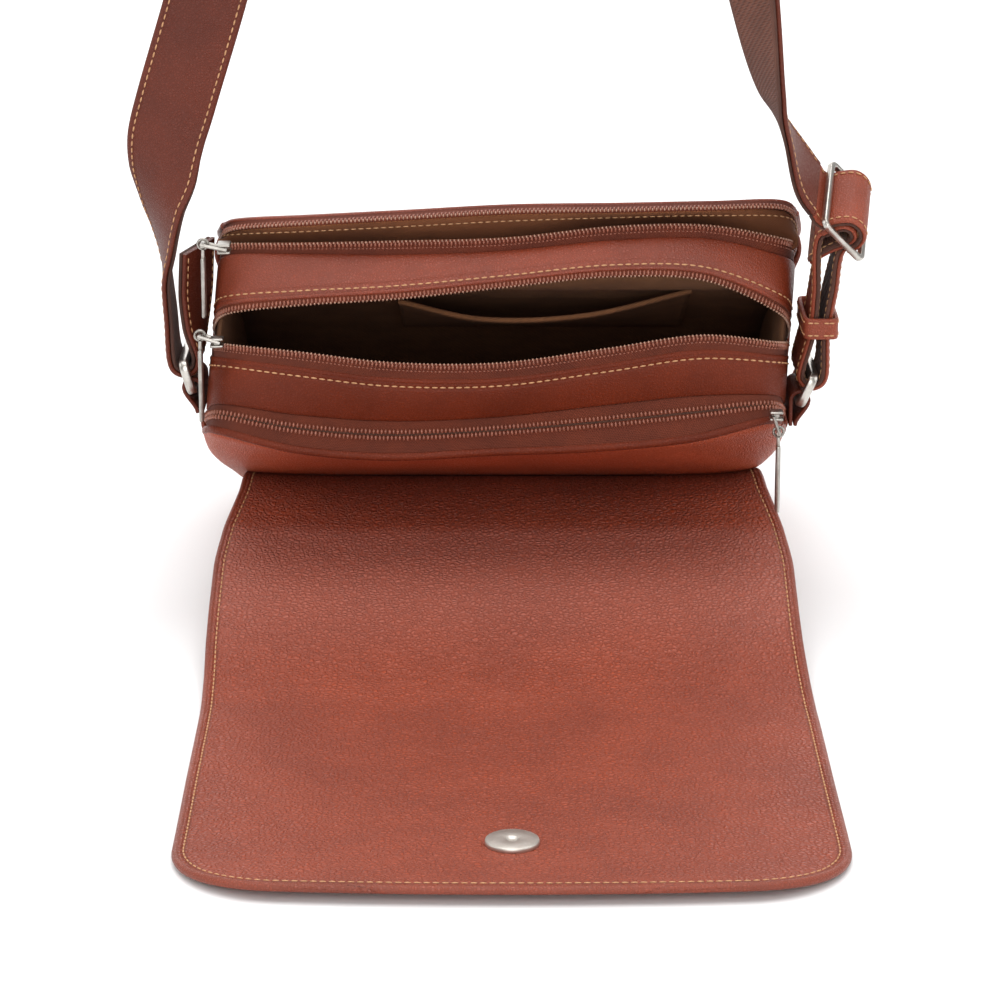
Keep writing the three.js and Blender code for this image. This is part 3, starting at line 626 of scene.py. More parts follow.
# Painted sheen on the flap's slope, where it bends down from its crest, along Y in metres: from, to, share
# before and share after
SHEEN_START = (-0.082, -0.025, 0.0, 0.9)
SHEEN_END = (0.006, 0.016, 1.0, 0.0)
# Scale and wander of the painted sheen's edge, and how much the grain's valleys stay out of it
SHEEN_NOISE = 22.0
SHEEN_WANDER = 0.008
SHEEN_VALLEY = 0.55
# Cloth: scale of its clouds, share and tone of the gaps between threads
CLOTH_CLOUDS = 60.0
GAP_SHARE = 0.55
GAP_TONE = 0.4
SHEEN_ROUGH = 0.5
# Thread and coil: scale of their clouds, scale and depth of their strands
THREAD_CLOUDS = 900.0
STRAND_SCALE = 2500.0
STRAND_DEPTH = 0.0001
# Metal: scale of its tarnish, then scale, roughness and depth of its brushing
METAL_CLOUDS = 220.0
BRUSH_SCALE = (400.0, 6000.0, 6000.0)
BRUSH_ROUGH = 0.16
BRUSH_DEPTH = 0.00002


@dataclass(frozen=True)
class LeatherFinish(Finish):
    """Satin red-brown leather with pebbled grain, pressed stitch lines, darker turned edges and, where given,
    a painted sheen.
    """

    grain: float = 850.0
    depth: float = 0.00016
    roughness: float = 0.46
    specular: float = 0.45
    line: float = 2.8
    # Paler colour of a painted sheen, which stands in for light on the flap's slope, or None
    painted_sheen_colour: Rgb | None = None

    def make(self, effects: Effects) -> Material:
        """Builds the material from the shared effects."""
        material, tree, shader = self.start()
        at = tree.add("ShaderNodeTexCoord").outputs["Object"]
        rim = tree.add("ShaderNodeAttribute", attribute_name="rim").outputs["Fac"]
        grain = self.group(tree, effects.grain, {"Vector": at, "Scale": self.grain})
        cloud = self.clouds(tree, effects, at, CLOUD_SCALE)
        press = self.group(tree, effects.press, {"Distance": rim, "Line": self.line})
        share = tree.math("MULTIPLY", grain.outputs["Valley"], VALLEY_SHARE)
        dark = tree.mix(share, cloud, self.shade(VALLEY_TONE))
        # Painted sheen: the paler colour mixed in over the flap's slope
        if self.painted_sheen_colour:
            dark = tree.mix(self.painted_sheen_share(tree, at, grain.outputs["Valley"]), dark, paint(self.painted_sheen_colour))
        share = tree.math("MULTIPLY", press.outputs["Edge"], EDGE_SHARE)
        edge = tree.mix(share, dark, self.shade(EDGE_TONE))
        tree.link(edge, shader.inputs["Base Color"])
        rough = tree.math("MULTIPLY_ADD", grain.outputs["Valley"], VALLEY_ROUGH, self.roughness)
        tree.link(rough, shader.inputs["Roughness"])
        height = tree.math("MULTIPLY_ADD", press.outputs["Height"], PRESS_HEIGHT, grain.outputs["Height"])
        self.bump(tree, shader, height, self.depth)
        shader.inputs["Specular IOR Level"].default_value = self.specular
        return material

    @staticmethod
    def painted_sheen_share(tree: Tree, at: Socket, valley: Socket) -> Socket:
        """Share of the painted sheen, a paler colour that stands in for light on the flap's sloping bend.

        Args:
            tree: The material's nodes.
            at: Object coordinates.
            valley: Mask of the grain's valleys, which stay dark.

        Returns:
            The share.
        """
        along = tree.add("ShaderNodeSeparateXYZ", {"Vector": at}).outputs["Y"]
        along = tree.math("MULTIPLY_ADD", tree.noise(at, SHEEN_NOISE), SHEEN_WANDER, along)
        zone = tree.math("MULTIPLY", tree.span(along, *SHEEN_START), tree.span(along, *SHEEN_END))
        return tree.math("MULTIPLY", zone, tree.math("MULTIPLY_ADD", valley, -SHEEN_VALLEY, 1.0))


@dataclass(frozen=True)
class ClothFinish(Finish):
    """Woven cloth: tape, lining or webbing."""

    ribs: float
    picks: float
    slant: float = 0.0
    depth: float = 0.0002
    roughness: float = 0.85
    sheen: float = 0.25

    def make(self, effects: Effects) -> Material:
        """Builds the material from the shared effects."""
        material, tree, shader = self.start()
        coords = tree.add("ShaderNodeTexCoord")
        weave = self.group(tree, effects.weave, {"Vector": coords.outputs["UV"], "Ribs": self.ribs,
                                                 "Picks": self.picks, "Slant": self.slant})
        cloud = self.clouds(tree, effects, coords.outputs["Object"], CLOTH_CLOUDS)
        gap = tree.math("MULTIPLY", weave.outputs["Gap"], GAP_SHARE)
        tone = tree.mix(gap, cloud, self.shade(GAP_TONE))
        tree.link(tone, shader.inputs["Base Color"])
        self.bump(tree, shader, weave.outputs["Height"], self.depth)
        shader.inputs["Roughness"].default_value = self.roughness
        shader.inputs["Sheen Weight"].default_value = self.sheen
        shader.inputs["Sheen Roughness"].default_value = SHEEN_ROUGH
        return material


@dataclass(frozen=True)
class ThreadFinish(Finish):
    """Waxed thread or moulded coil: two close colours and a soft gloss."""

    roughness: float

    def make(self, effects: Effects) -> Material:
        """Builds the material from the shared effects."""
        material, tree, shader = self.start()
        at = tree.add("ShaderNodeTexCoord").outputs["Object"]
        tree.link(self.clouds(tree, effects, at, THREAD_CLOUDS), shader.inputs["Base Color"])
        self.bump(tree, shader, tree.noise(at, STRAND_SCALE), STRAND_DEPTH)
        shader.inputs["Roughness"].default_value = self.roughness
        return material


@dataclass(frozen=True)
class MetalFinish(Finish):
    """Satin nickel plate with fine brushing and slight tarnish."""

    roughness: float

    def make(self, effects: Effects) -> Material:
        """Builds the material from the shared effects."""
        material, tree, shader = self.start()
        at = tree.add("ShaderNodeTexCoord").outputs["Object"]
        tree.link(self.clouds(tree, effects, at, METAL_CLOUDS), shader.inputs["Base Color"])
        stretch = tree.add("ShaderNodeMapping", {"Vector": at, "Scale": BRUSH_SCALE})
        brush = tree.noise(stretch.outputs[0], 1.0, 3.0)
        rough = tree.math("MULTIPLY_ADD", brush, BRUSH_ROUGH, self.roughness)
        tree.link(rough, shader.inputs["Roughness"])
        self.bump(tree, shader, brush, BRUSH_DEPTH)
        shader.inputs["Metallic"].default_value = 1.0
        return material


class Wardrobe:
    """Every material of the bag."""

    def __init__(self) -> None:
        """Builds the shared effects and the materials."""
        effects = Effects()
        # The flap's paler colour on its slope is a painted sheen
        self.flap = LeatherFinish("flap_leather", (0.275, 0.042, 0.0135), (0.345, 0.055, 0.018), 560.0,
                                  0.00052, 0.46, specular=0.6, painted_sheen_colour=(0.41, 0.118, 0.08)).make(effects)
        self.body = LeatherFinish("body_leather", (0.2, 0.031, 0.0095), (0.27, 0.0425, 0.0135), 1000.0,
                                  0.00012, 0.34, specular=0.52).make(effects)
        # Darker copy of the body leather: painted shade on the near band and on the belly's fold
        self.near = LeatherFinish("band_leather_painted_shade", (0.13, 0.0185, 0.005), (0.18, 0.0262, 0.0073), 1000.0,
                                  0.00012, 0.36, specular=0.2).make(effects)
        # Lighter copy of the body leather: painted light on the belly, the back panel
        self.belly = LeatherFinish("belly_leather_painted_light", (0.33, 0.053, 0.0155), (0.43, 0.071, 0.0215), 900.0,
                                   0.0002, 0.36, specular=0.4).make(effects)
        self.strap = LeatherFinish("strap_leather", (0.108, 0.0165, 0.0055), (0.143, 0.0225, 0.0078), 1000.0,
                                   0.00014, 0.38, specular=0.34).make(effects)
        self.loop = LeatherFinish("loop_leather", (0.24, 0.041, 0.015), (0.31, 0.055, 0.021), 1000.0,
                                  0.00014, 0.4).make(effects)
        self.tape = ClothFinish("zip_tape", (0.12, 0.0182, 0.0036), (0.16, 0.025, 0.0052), 1900.0, 1500.0,
                                sheen=0.01).make(effects)
        self.lining = ClothFinish("twill_lining", (0.2, 0.078, 0.028), (0.265, 0.106, 0.039), 1500.0, 1100.0,
                                  1.0, sheen=0.01).make(effects)
        # Lighter copy of the lining: painted light on the front compartment's lining in the slit
        self.slit = ClothFinish("slit_lining_painted_light", (0.27, 0.086, 0.027), (0.34, 0.112, 0.037), 1500.0, 1100.0,
                                1.0, sheen=0.01).make(effects)
        self.webbing = ClothFinish("strap_webbing", (0.118, 0.039, 0.022), (0.17, 0.058, 0.034), 560.0, 900.0,
                                   0.7, 0.0003, sheen=0.05).make(effects)
        self.thread = ThreadFinish("tan_thread", (0.44, 0.22, 0.1), (0.56, 0.3, 0.145), 0.6).make(effects)
        self.coil = ThreadFinish("zip_coil", (0.2, 0.062, 0.036), (0.34, 0.12, 0.074), 0.25).make(effects)
        # Near-black core: painted shade line between the closed zip's two rows of teeth
        self.core = ThreadFinish("zip_core_painted_shade", (0.05, 0.016, 0.007), (0.08, 0.026, 0.012), 0.85).make(effects)
        # Paler copy of the coil: painted glints on the coil's turns, with real gloss from the low roughness
        self.tips = ThreadFinish("zip_tips_painted_glint", (0.3, 0.15, 0.1), (0.42, 0.24, 0.17), 0.12).make(effects)
        self.nickel = MetalFinish("satin_nickel", (0.46, 0.43, 0.39), (0.6, 0.57, 0.53), 0.22).make(effects)
        # Darker copy of the nickel: painted shade on the zip sliders and pulls
        self.shaded_zipper = MetalFinish("zip_nickel_painted_shade", (0.33, 0.31, 0.28), (0.46, 0.435, 0.4), 0.27).make(effects)
        self.plate = MetalFinish("pale_nickel", (0.55, 0.505, 0.455), (0.63, 0.585, 0.535), 0.4).make(effects)


# Lie of the body: mouth to bottom runs down at this slope, from this height
RECLINE = math.radians(19.5)
MOUTH_LIFT = 66.5
SKEW = 0.076
SKEW_DEPTH = 61.0
HALF_WIDTH = 109.0


def bag_point(x: float, v: float, d: float) -> Vector:
    """Working point of a place in the bag.

    Args:
        x: Across, left to right.
        v: From the mouth to the bottom.
        d: From the back panel to the front panel.

    Returns:
        The point in working millimetres.
    """
    down, deep = math.sin(RECLINE), math.cos(RECLINE)
    return Vector((x + SKEW * (d - SKEW_DEPTH), v * deep + d * down, MOUTH_LIFT - v * down + d * deep))


class Line(Enum):
    """Lines round the mouth, with how far each stands from the station (negative is proud)."""

    BELLY = 2.0
    SEAM_BACK = -1.0
    FOLD_NEAR = -10.0
    RIM_NEAR = -13.0
    RIM_FAR = -8.0
    FOLD_FAR = -7.0
    SEAM_FRONT = -4.0
    # A thousandth off, because equal values would make two names one line
    COIL_NEAR = -8.001
    COIL_FAR = -10.001
    EDGE = -5.0


# Mouth stations: x, v, share of the stand, then the depth of each line in the order of Line
MOUTH = (
    (-109.0, 28, 0.0, 17.0, 24.0, 47.0, 52.6, 54.6, 60.0, 80.0, 87.6, 89.2, 93.4),
    (-108.5, 10, 0.1, 17.0, 25.0, 44.0, 50.0, 57.0, 62.3, 81.0, 87.0, 90.2, 93.6),
    (-103.0, -3, 0.4, 16.0, 26.0, 42.0, 47.8, 59.8, 64.0, 82.0, 86.0, 91.2, 94.2),
    (-75.0, -8, 1.0, 9.0, 22.0, 37.9, 44.0, 62.0, 65.4, 81.4, 85.2, 91.9, 94.8),
    (-40.0, -8, 1.0, 6.0, 19.6, 33.8, 40.0, 64.3, 67.6, 81.0, 85.9, 93.9, 96.8),
    (0.0, -8, 1.0, 7.8, 21.0, 33.6, 39.8, 68.6, 71.8, 82.5, 87.1, 96.2, 99.1),
    (40.0, -8, 1.0, 9.4, 25.4, 39.0, 45.2, 72.6, 75.8, 86.4, 91.4, 96.8, 99.7),
    (75.0, -8, 1.0, 13.0, 29.0, 44.2, 50.2, 71.2, 74.6, 87.0, 91.8, 97.6, 100.4),
    (103.0, -3, 0.4, 20.0, 29.5, 43.2, 48.7, 60.5, 65.0, 81.5, 87.8, 98.8, 101.6),
    (108.5, 10, 0.1, 19.5, 28.0, 44.5, 50.0, 56.5, 61.5, 80.5, 87.5, 95.0, 98.0),
    (109.0, 28, 0.0, 18.5, 26.0, 46.0, 51.6, 53.6, 59.0, 79.5, 87.6, 90.2, 94.0),
)
MOUTH_LINES = {
    line: [Vector((row[0], row[1] + row[2] * line.value, row[3 + i])) for row in MOUTH]
    for i, line in enumerate(Line)
}


def mouth(line: Line, t: float) -> Vector:
    """Place on a mouth line, as x, v and d."""
    return spline(MOUTH_LINES[line], t)


def strip(first: Line, second: Line, bulge: float = 0.0) -> Surface:
    """Surface between two mouth lines.

    Args:
        first: Line where it starts.
        second: Line where it ends.
        bulge: How far its middle stands proud of the mouth.

    Returns:
        The surface: across from the first line to the second, along the mouth from left to right.
    """
    def place(u: float, w: float) -> Vector:
        """Point of the strip."""
        x, v, d = mouth(first, w).lerp(mouth(second, w), u)
        return bag_point(x, v - 4.0 * bulge * u * (1.0 - u), d)
    return place


class Panel(Enum):
    """Panels of the body: mouth line, how far inside it starts, column in the sections, turn of its sides."""

    BACK = (Line.BELLY, 0.0, 3, 12.0)
    DIVIDER_BACK = (Line.SEAM_BACK, 3.6, 4, 0.0)
    DIVIDER_FRONT = (Line.SEAM_FRONT, 3.6, 5, 0.0)
    FRONT = (Line.EDGE, 0.0, 6, -3.0)


# Bottom outline at the mouth's stations
BOTTOM = [Vector((x, v, 0.0)) for x, v in (
    (-109, 174), (-108, 186), (-100, 197), (-75, 202.5), (-40, 203), (0, 203), (40, 203), (75, 202.5),
    (100, 197), (108, 186), (109, 174))]
# Sections from mouth to bottom: w, spread of the sides, share of the mouth line's depth, each panel's depth
SECTIONS = [Vector(row) for row in (
    (0.0, 1.0, 1.0, 0, 28, 80, 105),
    (0.04, 1.02, 0.6, 6, 28, 80, 96),
    (0.09, 1.034, 0.3, 5.8, 28.5, 79, 96),
    (0.16, 1.04, 0.1, 5.4, 29, 78, 96.5),
    (0.3, 1.04, 0.0, 5, 29, 75, 97),
    (0.6, 1.04, 0.0, 4.5, 28.5, 67, 92.5),
    (0.92, 1.034, 0.0, 4, 27, 56, 83),
    (1.0, 1.0, 0.0, 5, 26, 53, 78))]
TURN_POWER = 8
PANEL_SPAN = (0.15, 0.85)
GUSSET_START = 3 / 7
PIPING_START = 0.1
# Share of a panel's outline that each side takes, and where a gusset starts to bulge downwards
SIDE_SHARE = 0.31
GUSSET_TURN = 0.28


def panel(kind: Panel) -> Surface:
    """Surface of a panel: across from left to right, along from mouth to bottom."""
    line, sink, column, turn = kind.value

    def place(u: float, w: float) -> Vector:
        """Point of the panel."""
        t = PANEL_SPAN[0] + (PANEL_SPAN[1] - PANEL_SPAN[0]) * u
        top, end, row = mouth(line, t), spline(BOTTOM, t), spline(SECTIONS, w)
        x = (top.x * (1.0 - sink / HALF_WIDTH) * (1.0 - row[0]) + end.x * row[0]) * row[1]
        v = (top.y + sink) * (1.0 - row[0]) + end.y * row[0]
        side = turn * abs(2.0 * u - 1.0) ** TURN_POWER
        return bag_point(x, v, row[2] * top.z + (1.0 - row[2]) * (row[column] + side))
    return place


def outline(surface: Surface, s: float, begin: float = GUSSET_START) -> Vector:
    """Point on a panel's outline below the mouth.

    Args:
        surface: The panel.
        s: Place on the outline, down the left side, along the bottom and up the right side.
        begin: Height of its ends on the panel.

    Returns:
        The point.
    """
    if s < SIDE_SHARE:
        return surface(0.0, begin + (1.0 - begin) * s / SIDE_SHARE)
    if s > 1.0 - SIDE_SHARE:
        return surface(1.0, begin + (1.0 - begin) * (1.0 - s) / SIDE_SHARE)
    return surface((s - SIDE_SHARE) / (1.0 - 2.0 * SIDE_SHARE), 1.0)


@dataclass
class Shell:
    """Leather panels, dividers, gussets and piping of the body."""

    wardrobe: Wardrobe
    leather: float = 2.0
    piping: float = 1.5
    gusset_bulge: float = 3.0
    panel_spans: tuple[int, int] = (72, 64)
    gusset_spans: tuple[int, int] = (16, 160)
    piping_steps: int = 150

    def build(self) -> None:
        """Builds and dresses every piece."""
        for kind, node in ((Panel.BACK, "back_panel"), (Panel.DIVIDER_BACK, "divider_back"),
                           (Panel.DIVIDER_FRONT, "divider_front"), (Panel.FRONT, "front_panel")):
            # The back panel's lighter leather is painted light
            material = self.wardrobe.belly if kind is Panel.BACK else self.wardrobe.body
            model = Model(node + "_leather")
            model.sheet(*self.panel_spans, panel(kind))
            model.finish(Dress(material, Slot.LEATHER, replaces=(node,), thick=self.leather))
        for first, second, node in ((Panel.BACK, Panel.DIVIDER_BACK, "gusset_back"),
                                    (Panel.DIVIDER_BACK, Panel.DIVIDER_FRONT, "gusset_main"),
                                    (Panel.DIVIDER_FRONT, Panel.FRONT, "gusset_front")):
            model = Model(node + "_leather")
            model.sheet(*self.gusset_spans, self.gusset(panel(first), panel(second)))
            model.finish(Dress(self.wardrobe.body, Slot.LEATHER, replaces=(node,), thick=self.leather))
        self.build_piping()

    def gusset(self, first: Surface, second: Surface) -> Surface:
        """Surface of a gusset between two panels' outlines, bulging outwards.

        Args:
            first: Panel at its back edge.
            second: Panel at its front edge.

        Returns:
            The surface.
        """
        def place(u: float, s: float) -> Vector:
            """Point of the gusset."""
            a, b = outline(first, s), outline(second, s)
            middle = a.lerp(b, u)
            out = Vector((0.0, 1.0, 0.0))
            if s < GUSSET_TURN or s > 1.0 - GUSSET_TURN:
                out = Vector((middle.x / HALF_WIDTH, 0.0, 0.0))
            return middle + out * self.gusset_bulge * math.sin(math.pi * u)
        return place

    def build_piping(self) -> None:
        """Adds the corded seams round the panels."""
        steps = self.piping_steps
        for kind, name in ((Panel.BACK, "piping_back"), (Panel.DIVIDER_BACK, "piping_rear"),
                           (Panel.DIVIDER_FRONT, "piping_fore"), (Panel.FRONT, "piping_front")):
            surface = panel(kind)
            model = Model(name)
            model.tube([outline(surface, i / steps, PIPING_START) for i in range(steps + 1)], self.piping)
            model.finish(Dress(self.wardrobe.body, Slot.LEATHER))


@dataclass
class Mouth:
    """Zips, bands and their stitches round the mouth."""

    wardrobe: Wardrobe
    tape: float = 0.9
    leather: float = 2.0
    bulge: float = 1.6
    fold: float = 1.25
    roll: float = 1.7
    core: float = 0.65
    pitch: float = 1.5
    tooth: Triple = (2.6, 0.95, 1.5)
    sewn_tooth: Triple = (0.8, 1.1, 0.5)
    tip_tooth: Triple = (1.0, 0.8, 1.4)
    closed_tooth: Triple = (2.3, 1.0, 1.6)
    insets: Triple = (1.0, 2.7, -0.25)
    coil_lift: float = 0.55
    sewn_lift: float = 0.45
    closed_lift: float = 0.75
    closed_rows: Pair = (0.505, 0.675)
    core_at: float = 0.59
    stitch: float = 3.0
    stitch_lift: float = 0.1
    sewn_span: Pair = (0.06, 0.94)
    along: int = 200
    band_columns: int = 14
    tape_columns: int = 6
    closed_columns: int = 12
    edge_bevel: float = 0.5

    def build(self) -> None:
        """Builds and dresses every piece."""
        # The near band's darker leather is painted shade
        self.band("band_back", Line.SEAM_BACK, Line.FOLD_NEAR, 0.86, self.wardrobe.near)
        self.band("band_front", Line.FOLD_FAR, Line.SEAM_FRONT, 0.13, self.wardrobe.body)
        for name, first, second, coil_at in (
                ("zip_main_near", Line.FOLD_NEAR, Line.RIM_NEAR, 1.0),
                ("zip_main_far", Line.RIM_FAR, Line.FOLD_FAR, 0.0),
                ("zip_front_near", Line.SEAM_FRONT, Line.COIL_NEAR, 1.0),
                ("zip_front_far", Line.COIL_FAR, Line.EDGE, 0.0)):
            self.half_zip(name, first, second, coil_at)
        self.closed_zip()

    def band(self, node: str, first: Line, second: Line, sewn: float, material: Material) -> None:
        """Builds a leather band with its turned edge and its row of stitches.

        Args:
            node: The CAD node that it stands for.
            first: Line at its back edge.
            second: Line at its front edge.
            sewn: Where the stitches run, across the band.
            material: Its leather.
        """
        surface = strip(first, second, self.bulge)
        fold = 1.0 if sewn > 0.5 else 0.0
        model = Model(node + "_leather")
        model.sheet(self.band_columns, self.along, surface,
                    rim=lambda u, w: abs(u - fold) * (surface(1.0, w) - surface(0.0, w)).length)
        model.finish(Dress(material, Slot.LEATHER, replaces=(node,), thick=self.leather,
                           bevel=self.edge_bevel))
        edge = Model(node + "_fold")
        edge.tube(self.line(surface, fold), self.fold)
        edge.finish(Dress(material, Slot.LEATHER))
        rows = Model(node + "_stitches")
        rows.stitches(surface, lambda t: (sewn, t), self.stitch, self.leather / 2.0 + self.stitch_lift,
                      *self.sewn_span, -1.0)
        rows.finish(Dress(self.wardrobe.thread, Slot.LEATHER))

    def line(self, surface: Surface, at: float) -> list[Vector]:
        """Points along a surface, at one place across it."""
        return [surface(at, i / self.along) for i in range(self.along + 1)]

    def teeth(self, model: Model, surface: Surface, at: float, lift: float, size: Triple,
              shift: float = 0.0) -> None:
        """Sets a row of coil teeth along a surface.

        Args:
            model: Mesh that takes them.
            surface: The tape.
            at: Where the row runs, across the tape.
            lift: Height over the tape.
            size: Length across the tape, width and height of a tooth.
            shift: Share of a pitch by which the row is moved along.
        """
        places = even(lambda t: surface(at, t), self.pitch)
        for k, t in enumerate(places[:-1]):
            t += (places[k + 1] - t) * shift
            tangent = (surface(at, t + FINE) - surface(at, t - FINE)).normalized()
            across = (surface(1.0, t) - surface(0.0, t)).normalized()
            up = tangent.cross(across).normalized()
            across = up.cross(tangent)
            model.bead(basis(across, tangent, up, surface(at, t) + up * lift, Vector(size)))

    def half_zip(self, node: str, first: Line, second: Line, coil_at: float) -> None:
        """Builds one open side of a zip: its tape, its coil, the coil's turns with painted glints and its
        sewn row.

        Args:
            node: The CAD node that it stands for.
            first: Line at the tape's start.
            second: Line at the tape's end.
            coil_at: Which edge of the tape carries the coil.
        """
        surface = strip(first, second)
        width = (surface(1.0, 0.5) - surface(0.0, 0.5)).length
        inward = 1.0 if coil_at == 0.0 else -1.0
        model = Model(node + "_tape")
        model.sheet(self.tape_columns, self.along, surface)
        model.finish(Dress(self.wardrobe.tape, Slot.ZIP, replaces=(node,), thick=self.tape))
        coil = Model(node + "_coil")
        rows = [coil_at + inward * inset / width for inset in self.insets]
        self.teeth(coil, surface, rows[0], self.coil_lift, self.tooth)
        self.teeth(coil, surface, rows[1], self.sewn_lift, self.sewn_tooth, 0.5)
        coil.finish(Dress(self.wardrobe.coil, Slot.ZIP, crease=BEAD_CREASE))
        # The coil's turns: their paler colour is a painted glint, their gloss is real
        tips = Model(node + "_tips")
        self.teeth(tips, surface, rows[2], self.coil_lift, self.tip_tooth)
        tips.finish(Dress(self.wardrobe.tips, Slot.ZIP, crease=BEAD_CREASE))

    def closed_zip(self) -> None:
        """Builds the closed zip over the belly: its tape, two rows of teeth and the core between them,
        painted near-black as a shade line.
        """
        surface = strip(Line.BELLY, Line.SEAM_BACK, 1.0)
        model = Model("zip_back_tape")
        model.sheet(self.closed_columns, self.along, surface)
        model.finish(Dress(self.wardrobe.tape, Slot.ZIP, replaces=("zip_back",), thick=self.tape))
        # The fold under the tape is dressed in the darker band leather: a painted shadow line between tape
        # and belly
        edge = Model("belly_fold")
        edge.tube(self.line(surface, 0.0), self.roll)
        edge.finish(Dress(self.wardrobe.near, Slot.LEATHER))
        coil = Model("zip_back_coil")
        for at, shift in zip(self.closed_rows, (0.0, 0.5)):
            self.teeth(coil, surface, at, self.closed_lift, self.closed_tooth, shift)
        coil.finish(Dress(self.wardrobe.coil, Slot.ZIP, crease=BEAD_CREASE))
        # Near-black core tube: painted shade line between the rows
        core = Model("zip_back_core")
        core.tube(self.line(surface, self.core_at), self.core)
        core.finish(Dress(self.wardrobe.core, Slot.ZIP))


# Main lining below the rims: v, depth of the near wall, depth of the far wall, half width
LINING_MAIN = [Vector(row) for row in (
    (2, 38, 70, 106), (12, 37, 71, 104), (30, 36, 69.5, 104), (80, 34, 66, 104), (140, 33, 57, 104),
    (190, 34, 46, 97))]
LINING_FRONT = [Vector(row) for row in (
    (18, 83, 87.6, 104), (90, 76.5, 86, 104), (186, 61, 74, 97))]


@dataclass
class Lining:
    """Cloth pouches inside the compartments and the slip pocket."""

    wardrobe: Wardrobe
    cloth: float = 0.8
    drop: float = 2.2
    span: Pair = (0.05, 0.95)
    pocket_x: tuple[float, ...] = (-40.0, -8.0, 32.0, 71.0)
    pocket_d: tuple[float, ...] = (66.0, 59.2, 60.6, 70.0)
    lip: Pair = (-1.6, 0.9)
    lip_v: float = 1.0
    sewn: float = 0.045
    sewn_span: Pair = (0.02, 0.98)
    stitch: float = 2.8
    stitch_lift: float = 0.7
    pocket_v: Pair = (10.0, 90.0)
    pocket_foot: float = 64.0
    pocket_roll: float = 1.0
    pocket_hem: Pair = (0.0, 0.035)
    pocket_steps: int = 60
    pocket_spans: tuple[int, int] = (48, 24)
    weld: float = 0.02
    spans: tuple[int, int, int, int] = (60, 40, 12, 6)
    pocket_cut: Pair = (0.114, 0.081)

    def build(self) -> None:
        """Builds and dresses every piece."""
        self.pouch("lining_main", Line.RIM_NEAR, Line.RIM_FAR, LINING_MAIN, (-0.8, 0.6),
                   self.wardrobe.lining)
        # The slit's lighter lining is painted light
        upper = self.pouch("lining_front", Line.COIL_NEAR, Line.COIL_FAR, LINING_FRONT, (0.2, -0.2),
                           self.wardrobe.slit, self.lip)
        rows = Model("lining_stitches")
        rows.stitches(upper, lambda t: (t, self.sewn), self.stitch, self.stitch_lift, *self.sewn_span, -1.0)
        rows.finish(Dress(self.wardrobe.thread, Slot.LINING))
        self.pocket()

    def wall(self, line: Line, rows: Sequence[Vector], column: int, inset: float,
             lip: float | None = None) -> Surface:
        """Surface of a pouch wall.

        Args:
            line: Mouth line where it hangs.
            rows: The pouch's sections.
            column: Column of the wall's depth in the sections.
            inset: How far off the mouth line it starts.
            lip: How far over the near coil the wall passes, where it sags into the slit.

        Returns:
            The surface: across from left to right, along from mouth to bottom.
        """
        def place(u: float, w: float) -> Vector:
            """Point of the wall."""
            t = self.span[0] + (self.span[1] - self.span[0]) * u
            top = mouth(line, t)
            start = Vector((top.x, top.y + self.drop, top.z + inset))
            share = top.x / HALF_WIDTH
            points = [start] + [Vector((share * row[3], row[0], row[column])) for row in rows]
            if lip is not None:
                points.insert(1, Vector((top.x, self.lip_v, mouth(Line.COIL_NEAR, t).z + lip)))
            return bag_point(*spline(points, w))
        return place

    def pouch(self, node: str, near: Line, far: Line, rows: Sequence[Vector],
              inset: Pair, material: Material,
              lips: tuple[float | None, float | None] = (None, None)) -> Surface:
        """Builds a pouch of two walls, two sides and a bottom.

        Args:
            node: The CAD node that it stands for.
            near: Mouth line of its lower wall.
            far: Mouth line of its upper wall.
            rows: Its sections.
            inset: How far each wall starts off its mouth line.
            material: Its cloth.
            lips: How far over the near coil each wall passes.

        Returns:
            The upper wall.
        """
        lower = self.wall(near, rows, 1, inset[0], lips[0])
        upper = self.wall(far, rows, 2, inset[1], lips[1])
        model = Model(node + "_cloth")
        wide, deep, thick, foot = self.spans
        model.sheet(wide, deep, lower)
        model.sheet(wide, deep, upper)
        for end in (0.0, 1.0):
            model.sheet(thick, deep, lambda u, w, end=end: lower(end, w).lerp(upper(end, w), u))
        model.sheet(wide, foot, lambda u, w: lower(u, 1.0).lerp(upper(u, 1.0), w))
        bmesh.ops.remove_doubles(model.bm, verts=model.bm.verts, dist=self.weld)
        bmesh.ops.recalc_face_normals(model.bm, faces=model.bm.faces)
        model.finish(Dress(material, Slot.LINING, replaces=(node,), thick=self.cloth))
        return upper

    def pocket(self) -> None:
        """Builds the slip pocket that droops from the upper wall, and its piped edge."""
        edge = [Vector((x, self.pocket_v[0], d)) for x, d in zip(self.pocket_x, self.pocket_d)]

        def place(u: float, w: float) -> Vector:
            """Point of the pocket."""
            x, v, d = spline(edge, u)
            deep = self.pocket_v[1]
            return bag_point(x, v + (deep - v) * w, d + (self.pocket_foot - d) * ease(w))
        model = Model("pocket_cloth")
        model.sheet(*self.pocket_spans, place)
        cloth = model.finish(Dress(self.wardrobe.lining, Slot.LINING, replaces=("inner_pocket",),
                                   thick=self.cloth))
        cord = Model("pocket_piping")
        for shift in self.pocket_hem:
            hem = [place(i / self.pocket_steps, shift) for i in range(self.pocket_steps + 1)]
            cord.tube(hem, self.pocket_roll)
        piped = cord.finish(Dress(self.wardrobe.lining, Slot.LINING))


# Flap from its seam to its free edge: y, z of its middle, half width, centre
FLAP_ROWS = (
    (90.0, 36.1, 101, 0.0), (76.8, 40.8, 101.6, 0.0), (60.0, 39.4, 102.8, 0.2), (36.0, 32.2, 107.8, 0.3),
    (10.5, 24.6, 110, 0.4), (-12.0, 18.2, 110, 0.4), (-33.0, 11.8, 110, 0.6), (-57.0, 5.0, 110, 1.4),
    (-80.0, 1.6, 110, 2.0), (-95.0, 1.5, 110, 2.2), (-120.0, 1.5, 110, 2.3), (-150.0, 1.5, 110, 2.4),
    (-205.0, 1.5, 110, 2.8), (-234.0, 2.5, 109.8, 2.8), (-251.5, 4.6, 109.8, 2.8))


